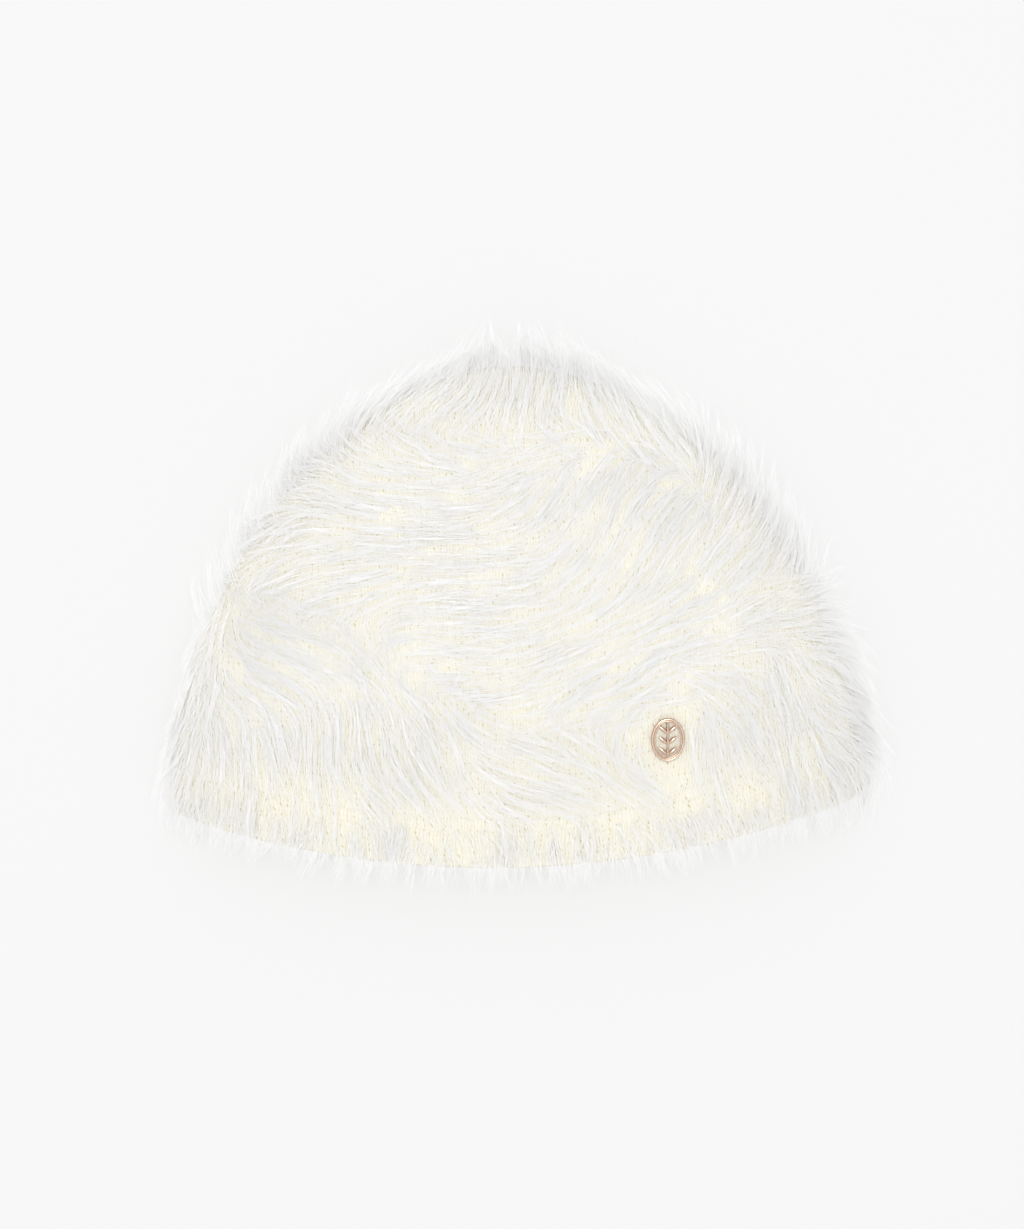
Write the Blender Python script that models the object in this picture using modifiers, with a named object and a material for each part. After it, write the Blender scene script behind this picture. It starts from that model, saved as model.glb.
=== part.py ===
"""Long-haired knitted beanie with a small oval badge, lying on its back on a table.

+Z is up, +Y runs from the hem to the crown's tip, and the front panel faces up.
The origin is on the flat of the underside. Lengths are in metres, angles in radians.

The knit's outer surface is one function of two parameters. The level is 0 at the crown's
tip, 1 at the line where the ribbed band starts and 2 at the hem. The turn goes once round
the hat: 0 at the right side fold, pi/2 in the middle of the front, pi at the left fold.
"""

import math

import bmesh
import bpy
import numpy as np
from mathutils import Matrix, Vector

# Outline of the flat-laid knit, seen from above.
KNIT_WIDTH = 0.245  # between the side folds at the widest line
CROWN_RISE = 0.1505  # from the widest line to the crown's tip
OUTLINE_POWER = 1.8  # 2 would make the outline an ellipse
WIDEST_Y = -0.0618  # where the widest line lies
SIDE_DROP = 0.0057  # from the widest line down to the hem's corners
SIDE_TUCK = 0.0012  # how far each corner draws in below the widest line
HEM_SAG = 0.0212  # how far the hem's middle lies below its corners
SAG_GROWTH = 1.5  # how quickly the courses bend between the tip and the band
BAND_HEIGHT = 0.0175

# Thickness of the lying hat.
CROWN_FOLD_Z = 0.0155  # height of the side folds along the crown
HEM_FOLD_Z = 0.0120  # height of the side folds at the hem
CROWN_PUFF = 0.0240  # rise of the front panel above the folds
HEM_PUFF = 0.0125
TOP_FULL_LEVEL = 0.72  # from here on the front panel has its whole height
UNDER_FULL_LEVEL = 0.45  # from here on the underside lies flat
PUFF_FALL = 0.0650  # height over the hem from which the puff falls off
PILLOW = 1.6  # how square the front panel's section is
UNDER_PILLOW = 2.2
UNDER_FLAT = 0.75  # sine of the turn from which the underside is flat

# Shallow dents in the front panel, as shares: across of half the width, up of the rise
# from the widest line, radius of half the width, depth of the crown's puff.
DENTS = (
    # across, up, radius, depth
    (-0.05, 0.82, 0.28, 0.13),
    (0.40, 0.23, 0.26, 0.08),
    (-0.55, 0.28, 0.30, 0.07),
)

# Walls and running gaps.
WALL = 0.0030
BAND_WALL = 0.0024
GAP = 0.0004
SEAM_GAP = 0.0007  # between the crown's end and the waving top of the band
RIBS = 106
RIB_DEPTH = 0.0012
RING_COLUMNS = 36
CROWN_ROWS = 11
BAND_ROWS = 1

# Fur: a dense undercoat that follows the knit, with locks fused to it.
UNDERCOAT = 0.0022
LOCK_LENGTH = 0.026
LOCK_WIDTH = 0.0110
LOCK_THICKNESS = 0.0036
LOCK_LIFT = 0.0030  # height of a lying lock's middle above the undercoat
LOCK_PITCH = 0.0168
LOCK_EMBED = 0.0012  # how deep a lock's root stands in the undercoat
LOCK_STEPS = 3
ROOT_SHARE = 0.2  # where on the swelling and tapering outline a lock's root lies
ARCH_SHARE = 0.6  # share of a half wave that a lock's middle line rises and falls through
EDGE_REACH = 0.40  # share of a lock that stands out where the pile points off the edge
EDGE_TURN = 0.55  # how far below the side folds the locks still grow
FIRST_LOCK_LEVEL = 0.10
LAST_LOCK_LEVEL = 0.88
FLOOR_CLEARANCE = 0.0003
HEM_LOCK_LENGTH = 0.026
HEM_LOCK_PITCH = 0.0120
HEM_LOCK_WIDTH = 0.0070
HEM_LOCK_LIFT = 0.0015
HEM_ROOT_LEVEL = 0.97
FUR_END_LEVEL = 0.99
UNDER_LOCK_THICKNESS = 0.0013
UNDER_LOCK_PITCH = 0.0220

# The way the pile is combed, in the plane: across of half the width and up of half the
# knit's length from the origin, heading in degrees from +X towards +Y.
COMB = (
    # across, up, heading
    (-0.05, 1.00, 92),
    (-0.32, 0.92, 62),
    (0.35, 0.85, 118),
    (0.66, 0.52, 64),
    (-0.62, 0.52, 80),
    (-0.82, 0.22, 110),
    (0.86, 0.10, 12),
    (1.00, -0.35, -35),
    (-0.96, -0.32, -128),
    (-1.00, -0.80, -112),
    (0.98, -0.78, -68),
    (0.35, 0.40, 238),
    (-0.15, 0.32, 182),
    (-0.52, 0.34, 160),
    (0.55, 0.20, 230),
    (0.10, -0.10, 200),
    (0.45, -0.18, 195),
    (-0.24, -0.40, -48),
    (-0.60, -0.28, -40),
    (-0.62, -0.55, -88),
    (-0.85, -0.60, -95),
    (0.15, -0.62, -22),
    (0.10, -0.90, -90),
    (0.58, -0.50, -88),
    (0.75, -0.70, -66),
    (0.82, -0.35, -75),
)
COMB_BLEND = 0.1  # how far the headings run into each other, as a share of half the width

# Badge: oval ring with an open sprig inside, held through the knit by prongs.
BADGE_ACROSS = 0.0525
BADGE_UP = -0.0444
BADGE_WIDTH = 0.0118
BADGE_HEIGHT = 0.0157
BADGE_PLATE = 0.0010
BADGE_RING = 0.0015  # width of the oval ring round the openwork
BADGE_RIM_RADIUS = 0.0006
BADGE_SEAT = 0.0004  # gap between the knit and the back of the ring
BADGE_MARGIN = 0.0012  # bare ring of knit round the badge
LEAF_LENGTH = 0.0044
LEAF_WIDTH = 0.0013
LEAF_PAIRS = 3
LEAF_ANGLE = math.radians(48)
PRONG_RADIUS = 0.0006
PRONG_SPACING = 0.0080
PRONG_CLEARANCE = 0.0003
CLINCH_PLATE = 0.0006
CLINCH_WIDTH = 0.0040

HALF_WIDTH = KNIT_WIDTH / 2
HEM_EDGE_Y = WIDEST_Y - SIDE_DROP
BAND_EDGE_Y = HEM_EDGE_Y + BAND_HEIGHT
UNDERSIDE_Z = UNDERCOAT + GAP
HALF_LENGTH = (WIDEST_Y + CROWN_RISE - HEM_EDGE_Y + HEM_SAG) / 2
BAND_ANGLE = math.acos(((BAND_EDGE_Y - WIDEST_Y) / CROWN_RISE) ** (OUTLINE_POWER / 2))
BAND_START = 1 + SEAM_GAP / BAND_HEIGHT
FINE_STEPS = 720  # steps round the hat when lengths of fabric are measured
TANGENT_STEP = 1e-4  # step of level and turn from which tangents are taken


def smooth_step(value, start, end):
    share = np.clip((value - start) / (end - start), 0, 1)
    return share * share * (3 - 2 * share)


def edge_of(level):
    """Y of the side fold at a level: the outline's superellipse, then straight down the band."""
    angle = np.minimum(level, 1) * BAND_ANGLE
    crown = WIDEST_Y + CROWN_RISE * np.cos(angle) ** (2 / OUTLINE_POWER)
    return crown - np.maximum(level - 1, 0) * BAND_HEIGHT


def half_width_of(edge_y):
    """Half of the outline's width at the height of a side fold."""
    share = np.clip((edge_y - WIDEST_Y) / CROWN_RISE, 0, 1)
    crown = HALF_WIDTH * (1 - share**OUTLINE_POWER) ** (1 / OUTLINE_POWER)
    tuck = SIDE_TUCK * (np.minimum(edge_y - WIDEST_Y, 0) / SIDE_DROP) ** 2
    return crown - tuck


def knit_surface(level, turn):
    """Point of the knit's outer surface: a flattened tube whose upper half is a pillow and
    whose lower half lies flat, with its courses bent like the hem and shallow dents on top."""
    level, turn = np.broadcast_arrays(np.asarray(level, float), np.asarray(turn, float))
    edge_y = edge_of(level)
    half = half_width_of(edge_y)
    x = half * np.cos(turn)
    across = np.sin(turn)
    sag = HEM_SAG * np.clip(level, 0, 1) ** SAG_GROWTH
    y = edge_y - sag * across**2
    falling = 1 - smooth_step(edge_y - HEM_EDGE_Y, 0, PUFF_FALL)
    fold_z = CROWN_FOLD_Z + (HEM_FOLD_Z - CROWN_FOLD_Z) * falling
    puff = CROWN_PUFF + (HEM_PUFF - CROWN_PUFF) * falling
    nose = np.sin(np.minimum(level / TOP_FULL_LEVEL, 1) * math.pi / 2)
    under_nose = np.sin(np.minimum(level / UNDER_FULL_LEVEL, 1) * math.pi / 2)
    dented = np.zeros_like(x)
    for dent_across, dent_up, radius, depth in DENTS:
        from_x = x / HALF_WIDTH - dent_across
        from_y = (y - WIDEST_Y - dent_up * CROWN_RISE) / HALF_WIDTH
        dented += depth * np.exp(-(from_x**2 + from_y**2) / radius**2)
    top = 1 - (1 - np.clip(across, 0, 1)) ** PILLOW
    under = 1 - (1 - np.clip(-across / UNDER_FLAT, 0, 1)) ** UNDER_PILLOW
    z = fold_z + puff * nose * top * (1 - dented) - (fold_z - UNDERSIDE_Z) * under_nose * under
    return np.stack([x, y, z], axis=-1)


def surface_frame(level, turn):
    """Point, outward normal and the two tangents of the knit's surface."""
    step = TANGENT_STEP
    point = knit_surface(level, turn)
    along_turn = (knit_surface(level, turn + step) - knit_surface(level, turn - step)) / (2 * step)
    along_level = (knit_surface(level + step, turn) - knit_surface(level - step, turn)) / (2 * step)
    normal = np.cross(along_turn, along_level)
    normal /= np.linalg.norm(normal, axis=-1, keepdims=True)
    return point, normal, along_turn, along_level


def fabric_run(level, first, last):
    """Turns between two turns of a level, with the length of fabric up to each."""
    fine = np.linspace(first, last, FINE_STEPS + 1)
    strides = np.linalg.norm(np.diff(knit_surface(level, fine), axis=0), axis=1)
    return fine, np.concatenate([[0], np.cumsum(strides)])


def even_turns(level, count):
    """Turns that divide the section at a level into equal lengths of fabric."""
    fine, run = fabric_run(level, 0, 2 * math.pi)
    return np.interp(np.arange(count) * run[-1] / count, run, fine)


def fold_turns(level, count):
    """Turns of a section whose points stand closer together at the side folds."""
    equal = 2 * math.pi * np.arange(count) / count
    return (even_turns(level, count) + equal) / 2


def ring_of(level, turns, offset):
    """Points round a level, moved out along the normal."""
    point, normal, _, _ = surface_frame(level, turns)
    return point + normal * np.reshape(offset, (-1, 1))


def front_spot(x, y):
    """Level and turn of the front panel's point above a place in the plane."""
    low, high = TANGENT_STEP, 2.0
    for _ in range(40):
        level = (low + high) / 2
        half = half_width_of(edge_of(level))
        turn = math.acos(min(max(x / half, -1), 1))
        if knit_surface(level, turn)[1] > y:
            low = level
        else:
            high = level
    return level, turn


def comb_direction(point):
    """Way that the pile is combed at a point: the table's headings, weighted by nearness."""
    place = np.array([point[0] / HALF_WIDTH, point[1] / HALF_LENGTH])
    table = np.array(COMB)
    weights = 1 / (np.sum((table[:, :2] - place) ** 2, axis=1) + COMB_BLEND**2) ** 2
    headings = np.radians(table[:, 2])
    way = np.array([weights @ np.cos(headings), weights @ np.sin(headings), 0.0])
    return way / np.linalg.norm(way)


def remove_everything():
    for obj in list(bpy.data.objects):
        bpy.data.objects.remove(obj)


def new_collection(name):
    collection = bpy.data.collections.new(name)
    bpy.context.scene.collection.children.link(collection)
    return collection


def make_material(name, colour, roughness, metallic=0.0):
    material = bpy.data.materials.new(name)
    material.use_nodes = True
    shader = material.node_tree.nodes["Principled BSDF"]
    shader.inputs["Base Color"].default_value = (*colour, 1)
    shader.inputs["Roughness"].default_value = roughness
    shader.inputs["Metallic"].default_value = metallic
    return material


def add_object(name, mesh, collection, material=None):
    obj = bpy.data.objects.new(name, mesh)
    collection.objects.link(obj)
    if material:
        mesh.materials.append(material)
    return obj


def add_cutter(name, mesh, collection):
    obj = add_object(name, mesh, collection)
    obj.hide_render = True
    obj.display_type = "WIRE"
    return obj


def finished_mesh(name, shape):
    mesh = bpy.data.meshes.new(name)
    shape.to_mesh(mesh)
    shape.free()
    return mesh


def lofted_tube(name, rings, pole=None):
    """Open surface through closed rings, from the tip towards the hem, with an optional pole."""
    shape = bmesh.new()
    rows = [[shape.verts.new(point) for point in ring] for ring in rings]
    for upper, lower in zip(rows, rows[1:]):
        for j in range(len(upper)):
            k = (j + 1) % len(upper)
            shape.faces.new((upper[j], upper[k], lower[k], lower[j]))
    if pole is not None:
        tip = shape.verts.new(pole)
        first = rows[0]
        for j in range(len(first)):
            shape.faces.new((tip, first[(j + 1) % len(first)], first[j]))
    mesh = finished_mesh(name, shape)
    mesh.shade_smooth()
    return mesh


def add_wall(obj, thickness):
    """Gives an open surface its thickness on the inside."""
    wall = obj.modifiers.new("wall", "SOLIDIFY")
    wall.thickness = thickness
    wall.offset = -1


def add_boolean(obj, operation, other):
    """Joins or cuts with an object, or joins a collection whose pieces may cross each other,
    which only the manifold solver leaves without edges that touch."""
    cut = obj.modifiers.new(operation.lower(), "BOOLEAN")
    cut.operation = operation
    if isinstance(other, bpy.types.Collection):
        cut.operand_type = "COLLECTION"
        cut.collection = other
        cut.solver = "MANIFOLD"
    else:
        cut.object = other


def crown_surface(name, offset, end_level=1.0):
    """The crown's surface from its tip to the band line, moved out by an offset."""
    levels = np.linspace(0, end_level, CROWN_ROWS + 1)[1:]
    rings = [ring_of(level, fold_turns(level, RING_COLUMNS), offset) for level in levels]
    tip = (0, WIDEST_Y + CROWN_RISE + offset, CROWN_FOLD_Z)
    return lofted_tube(name, rings, tip)


def make_knit_crown(collection, material):
    crown = add_object("knit_crown", crown_surface("knit_crown", 0.0), collection, material)
    add_wall(crown, WALL)
    return crown


def make_hem_band(collection, material):
    """Ribbed band: its columns stand in and out by turns, on both faces of the wall."""
    waves = np.where(np.arange(2 * RIBS) % 2 == 0, 0.5, -0.5) * RIB_DEPTH
    levels = np.linspace(BAND_START, 2, BAND_ROWS + 1)
    rings = [ring_of(level, even_turns(level, 2 * RIBS), waves) for level in levels]
    band = add_object("hem_band", lofted_tube("hem_band", rings), collection, material)
    add_wall(band, BAND_WALL)
    return band


def lock_path(level, turn, length, lift):
    """Centre line of a lock: it leaves the undercoat, walks along the surface the way the
    pile is combed, and stands out a little where that way leaves the surface."""
    step = length / LOCK_STEPS
    root = GAP + UNDERCOAT - LOCK_EMBED
    reached = 0.0
    points, normals = [], []
    for index in range(LOCK_STEPS + 1):
        point, normal, along_turn, along_level = surface_frame(level, turn)
        arch = math.sin(math.pi * ARCH_SHARE * index / LOCK_STEPS)
        points.append(point + normal * (root + reached + (lift + LOCK_EMBED) * arch))
        normals.append(normal)
        way = comb_direction(point)
        reached += max(float(way @ normal), 0) * step * EDGE_REACH
        tangents = np.stack([along_turn, along_level], axis=1)
        turn_step, level_step = np.linalg.lstsq(tangents, way * step, rcond=None)[0]
        turn += turn_step
        level = max(level + level_step, FIRST_LOCK_LEVEL / 2)
    return np.array(points), np.array(normals)


def lock_mesh(name, points, normals, width, thickness):
    """Tapering lock of four-sided sections through a centre line, closed at its root."""
    shape = bmesh.new()
    rings = []
    for index, (point, normal) in enumerate(zip(points[:-1], normals[:-1])):
        share = index / LOCK_STEPS
        taper = math.sin(math.pi * (ROOT_SHARE + (1 - ROOT_SHARE) * share))
        run = points[index + 1] - point
        side = np.cross(normal, run)
        side /= np.linalg.norm(side)
        up = np.cross(run, side)
        up /= np.linalg.norm(up)
        half_thick = thickness * taper / 2
        lowest = FLOOR_CLEARANCE + half_thick
        centre = np.array([point[0], point[1], max(point[2], lowest)])
        corners = (
            centre + side * width * taper / 2,
            centre + up * half_thick,
            centre - side * width * taper / 2,
            centre - up * half_thick,
        )
        rings.append([shape.verts.new((c[0], c[1], max(c[2], FLOOR_CLEARANCE))) for c in corners])
    for upper, lower in zip(rings, rings[1:]):
        for j in range(4):
            k = (j + 1) % 4
            shape.faces.new((upper[j], upper[k], lower[k], lower[j]))
    end = points[-1]
    tip = shape.verts.new((end[0], end[1], max(end[2], FLOOR_CLEARANCE * 2)))
    for j in range(4):
        shape.faces.new((rings[-1][j], rings[-1][(j + 1) % 4], tip))
    shape.faces.new(rings[0][::-1])
    bmesh.ops.recalc_face_normals(shape, faces=shape.faces)
    return finished_mesh(name, shape)


def even_places(level, first, last, pitch, shift=0.5):
    """Turns that stand a pitch apart along the fabric between two turns of a level."""
    fine, run = fabric_run(level, first, last)
    count = max(round(run[-1] / pitch), 3)
    return np.interp((np.arange(count) + shift) * run[-1] / count, run, fine)


def lock_roots():
    """Level, turn, length, lift, width and thickness of every lock, row by row."""
    roots = []
    levels = np.arange(FIRST_LOCK_LEVEL, LAST_LOCK_LEVEL, LOCK_PITCH / CROWN_RISE)
    for row, level in enumerate(levels):
        shift = 0.25 if row % 2 else 0.75
        for turn in even_places(level, -EDGE_TURN, math.pi + EDGE_TURN, LOCK_PITCH, shift):
            roots.append((level, turn, LOCK_LENGTH, LOCK_LIFT, LOCK_WIDTH, LOCK_THICKNESS))
    for turn in even_places(HEM_ROOT_LEVEL, 0, math.pi, HEM_LOCK_PITCH):
        size = (HEM_LOCK_LENGTH, HEM_LOCK_LIFT, HEM_LOCK_WIDTH, LOCK_THICKNESS)
        roots.append((HEM_ROOT_LEVEL, turn, *size))
    for turn in even_places(HEM_ROOT_LEVEL, math.pi, 2 * math.pi, UNDER_LOCK_PITCH):
        size = (HEM_LOCK_LENGTH, -LOCK_EMBED, HEM_LOCK_WIDTH, UNDER_LOCK_THICKNESS)
        roots.append((HEM_ROOT_LEVEL, turn, *size))
    return roots


def clear_of_badge(points):
    """Whether a lock's centre line passes beside the bare oval round the badge."""
    reach_x = (BADGE_WIDTH + LOCK_WIDTH) / 2 + BADGE_MARGIN
    reach_y = (BADGE_HEIGHT + LOCK_WIDTH) / 2 + BADGE_MARGIN
    x = (points[:, 0] - BADGE_ACROSS) / reach_x
    y = (points[:, 1] - BADGE_UP) / reach_y
    return bool(np.all(x**2 + y**2 > 1))


def make_fur(collection, cutters, material):
    """Undercoat over the crown with every lock fused to it, open round the badge."""
    fur = add_object("fur", crown_surface("fur", GAP + UNDERCOAT, FUR_END_LEVEL), collection, material)
    add_wall(fur, UNDERCOAT)
    locks = bpy.data.collections.new("locks")
    cutters.children.link(locks)
    for index, (level, turn, length, lift, width, thickness) in enumerate(lock_roots()):
        points, normals = lock_path(level, turn, length, lift)
        if not clear_of_badge(points):
            continue
        name = f"lock_{index:03d}"
        add_cutter(name, lock_mesh(name, points, normals, width, thickness), locks)
    add_boolean(fur, "UNION", locks)
    return fur


def badge_frame():
    """Matrix of the badge: its back centre on the knit, Z along the normal, Y towards the crown."""
    point, normal, _, _ = surface_frame(*front_spot(BADGE_ACROSS, BADGE_UP))
    normal = Vector(normal)
    across = Vector((0, 1, 0)).cross(normal).normalized()
    up = normal.cross(across)
    matrix = Matrix((across, up, normal)).transposed().to_4x4()
    matrix.translation = Vector(point)
    return matrix


def oval_prism(name, width, height, bottom, top, segments=32):
    """Closed oval plate between two heights over the badge's own plane."""
    shape = bmesh.new()
    bmesh.ops.create_cone(
        shape, cap_ends=True, segments=segments, radius1=0.5, radius2=0.5, depth=1
    )
    bmesh.ops.scale(shape, vec=(width, height, top - bottom), verts=shape.verts)
    bmesh.ops.translate(shape, vec=(0, 0, (top + bottom) / 2), verts=shape.verts)
    return finished_mesh(name, shape)


def rod_mesh(name, start, end, radius, segments=8):
    """Closed round rod between two points."""
    axis = Vector(end) - Vector(start)
    shape = bmesh.new()
    bmesh.ops.create_cone(
        shape, cap_ends=True, segments=segments, radius1=radius, radius2=radius, depth=axis.length
    )
    turn = axis.to_track_quat("Z", "Y").to_matrix().to_4x4()
    bmesh.ops.transform(shape, matrix=turn, verts=shape.verts)
    bmesh.ops.translate(shape, vec=(Vector(start) + Vector(end)) / 2, verts=shape.verts)
    return finished_mesh(name, shape)


def rim_mesh(name):
    """Raised rim: a round wire bent into the ring's oval."""
    shape = bmesh.new()
    steps, sides = 32, 6
    rings = []
    for i in range(steps):
        angle = 2 * math.pi * i / steps
        centre = Vector(
            (
                (BADGE_WIDTH / 2 - BADGE_RIM_RADIUS) * math.cos(angle),
                (BADGE_HEIGHT / 2 - BADGE_RIM_RADIUS) * math.sin(angle),
                BADGE_SEAT + BADGE_PLATE,
            )
        )
        out = Vector((math.cos(angle), math.sin(angle), 0))
        rings.append(
            [
                shape.verts.new(
                    centre
                    + out * BADGE_RIM_RADIUS * math.cos(2 * math.pi * s / sides)
                    + Vector((0, 0, BADGE_RIM_RADIUS * math.sin(2 * math.pi * s / sides)))
                )
                for s in range(sides)
            ]
        )
    for i in range(steps):
        for s in range(sides):
            a, b = rings[i], rings[(i + 1) % steps]
            shape.faces.new((a[s], b[s], b[(s + 1) % sides], a[(s + 1) % sides]))
    bmesh.ops.recalc_face_normals(shape, faces=shape.faces)
    return finished_mesh(name, shape)


def leaf_mesh(name, centre, angle):
    """Small leaf, domed on both faces."""
    shape = bmesh.new()
    bmesh.ops.create_uvsphere(shape, u_segments=8, v_segments=4, radius=0.5)
    bmesh.ops.scale(shape, vec=(LEAF_WIDTH, LEAF_WIDTH, LEAF_LENGTH), verts=shape.verts)
    turn = Matrix.Rotation(angle, 4, "Z") @ Matrix.Rotation(math.pi / 2, 4, "Y")
    bmesh.ops.transform(shape, matrix=turn, verts=shape.verts)
    bmesh.ops.translate(shape, vec=centre, verts=shape.verts)
    return finished_mesh(name, shape)


def make_badge(collection, cutters, frame, material):
    """Oval ring with a raised rim round an open sprig of paired leaves, all one casting."""
    outside = BADGE_WIDTH - BADGE_RIM_RADIUS, BADGE_HEIGHT - BADGE_RIM_RADIUS
    plate = oval_prism("badge", *outside, BADGE_SEAT, BADGE_SEAT + BADGE_PLATE)
    badge = add_object("badge", plate, collection, material)
    badge.matrix_world = frame
    inside = BADGE_WIDTH - 2 * BADGE_RING, BADGE_HEIGHT - 2 * BADGE_RING
    light = oval_prism("badge_light", *inside, 0, BADGE_SEAT + 2 * BADGE_PLATE)
    cutter = add_cutter("badge_light", light, cutters)
    cutter.matrix_world = frame
    add_boolean(badge, "DIFFERENCE", cutter)
    relief = bpy.data.collections.new("badge_relief")
    cutters.children.link(relief)
    middle = BADGE_SEAT + BADGE_PLATE / 2
    add_cutter("badge_rim", rim_mesh("badge_rim"), relief).matrix_world = frame
    end = BADGE_HEIGHT / 2 - BADGE_RING / 2
    stem = rod_mesh("badge_stem", (0, -end, middle), (0, end, middle), BADGE_PLATE / 2)
    add_cutter("badge_stem", stem, relief).matrix_world = frame
    for pair in range(LEAF_PAIRS):
        foot = BADGE_HEIGHT * ((pair + 0.55) / (LEAF_PAIRS + 1) - 0.5)
        for side in (-1, 1):
            angle = math.pi / 2 - side * LEAF_ANGLE
            reach = LEAF_LENGTH / 2
            centre = (reach * math.cos(angle), foot + reach * math.sin(angle), middle)
            name = f"badge_leaf_{pair}_{'left' if side < 0 else 'right'}"
            add_cutter(name, leaf_mesh(name, centre, angle), relief).matrix_world = frame
    add_boolean(badge, "UNION", relief)
    return badge


def make_badge_prongs(collection, cutters, frame, material):
    """Clinch plate inside the hat with two prongs that reach the badge through the knit."""
    low = -WALL - GAP - CLINCH_PLATE
    length = PRONG_SPACING + CLINCH_WIDTH
    plate = oval_prism("badge_prongs", CLINCH_WIDTH, length, low, low + CLINCH_PLATE)
    prongs = add_object("badge_prongs", plate, collection, material)
    prongs.matrix_world = frame
    posts = bpy.data.collections.new("badge_posts")
    cutters.children.link(posts)
    for side in (-1, 1):
        y = side * PRONG_SPACING / 2
        post = rod_mesh("prong", (0, y, low + CLINCH_PLATE / 2), (0, y, 0), PRONG_RADIUS)
        add_cutter(f"prong_{side + 1}", post, posts).matrix_world = frame
    add_boolean(prongs, "UNION", posts)
    return prongs


def open_for_badge(crown, fur, cutters, frame):
    """Prong holes through the knit, and a bare oval round the badge in the fur."""
    for side in (-1, 1):
        y = side * PRONG_SPACING / 2
        hole = rod_mesh("hole", (0, y, -2 * WALL), (0, y, WALL), PRONG_RADIUS + PRONG_CLEARANCE)
        cutter = add_cutter(f"prong_hole_{side + 1}", hole, cutters)
        cutter.matrix_world = frame
        add_boolean(crown, "DIFFERENCE", cutter)
    bare = BADGE_WIDTH + 2 * BADGE_MARGIN, BADGE_HEIGHT + 2 * BADGE_MARGIN
    window = oval_prism("badge_window", *bare, -UNDERCOAT, LOCK_LENGTH)
    cutter = add_cutter("badge_window", window, cutters)
    cutter.matrix_world = frame
    add_boolean(fur, "DIFFERENCE", cutter)


def build():
    remove_everything()
    parts = new_collection("beanie")
    cutters = new_collection("cutters")
    wool = make_material("cream_knit", (0.93, 0.89, 0.76), 0.95)
    rib_wool = make_material("cream_rib_knit", (0.93, 0.88, 0.74), 0.95)
    pile = make_material("white_pile", (0.93, 0.92, 0.88), 0.7)
    gold = make_material("rose_gold", (0.85, 0.58, 0.44), 0.25, 1.0)
    steel = make_material("clinch_metal", (0.62, 0.58, 0.52), 0.35, 1.0)
    crown = make_knit_crown(parts, wool)
    make_hem_band(parts, rib_wool)
    fur = make_fur(parts, cutters, pile)
    frame = badge_frame()
    make_badge(parts, cutters, frame, gold)
    make_badge_prongs(parts, cutters, frame, steel)
    open_for_badge(crown, fur, cutters, frame)


build()
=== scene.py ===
"""Long-haired knitted beanie with a small oval badge, laid flat and seen from above."""

import math

import bpy
import numpy as np
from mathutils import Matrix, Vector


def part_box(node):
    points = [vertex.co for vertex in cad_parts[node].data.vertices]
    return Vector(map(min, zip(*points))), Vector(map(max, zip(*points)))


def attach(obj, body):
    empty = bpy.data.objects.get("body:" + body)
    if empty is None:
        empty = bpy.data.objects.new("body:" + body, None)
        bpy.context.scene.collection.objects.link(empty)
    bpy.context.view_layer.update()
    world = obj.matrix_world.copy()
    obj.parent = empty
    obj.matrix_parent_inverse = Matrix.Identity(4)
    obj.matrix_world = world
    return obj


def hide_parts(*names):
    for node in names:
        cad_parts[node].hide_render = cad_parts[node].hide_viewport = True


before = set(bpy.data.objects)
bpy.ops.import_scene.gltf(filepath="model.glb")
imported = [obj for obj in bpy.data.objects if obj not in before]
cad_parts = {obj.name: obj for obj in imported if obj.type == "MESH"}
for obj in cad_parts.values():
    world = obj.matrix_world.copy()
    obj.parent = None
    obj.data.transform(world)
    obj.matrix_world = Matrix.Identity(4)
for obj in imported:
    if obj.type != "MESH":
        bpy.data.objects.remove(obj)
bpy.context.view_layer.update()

# Knitted dome: one hollow shape in plain stitch, cream acrylic and wool yarn.
# It lies on its back, so the underside is flat and the front panel swells softly.
crown_low, crown_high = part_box("knit_crown")

HALF_WIDTH = 0.1225
CROWN_RISE = 0.1505
OUTLINE_POWER = 1.8
TIP_Y = crown_high[1]
WIDEST_Y = TIP_Y - CROWN_RISE
SIDE_DROP = 0.0057
SIDE_TUCK = 0.0012
HEM_SAG = 0.0212
SAG_GROWTH = 1.5
BAND_HEIGHT = 0.0175
HEM_EDGE_Y = WIDEST_Y - SIDE_DROP
BAND_ANGLE = math.acos(((HEM_EDGE_Y + BAND_HEIGHT - WIDEST_Y) / CROWN_RISE) ** (OUTLINE_POWER / 2))

UNDERSIDE_Z = crown_low[2]
CROWN_FOLD_Z = 0.0155
HEM_FOLD_Z = 0.0120
CROWN_PUFF = 0.0240
HEM_PUFF = 0.0125
PUFF_FALL = 0.0650
TOP_FULL_LEVEL = 0.72
UNDER_FULL_LEVEL = 0.45
PILLOW = 1.6
UNDER_PILLOW = 2.2
UNDER_FLAT = 0.75
DENTS = (
    # across of half the width, up of the rise, radius of half the width, depth of the puff
    (-0.05, 0.82, 0.28, 0.13),
    (0.40, 0.23, 0.26, 0.08),
    (-0.55, 0.28, 0.30, 0.07),
)

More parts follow.
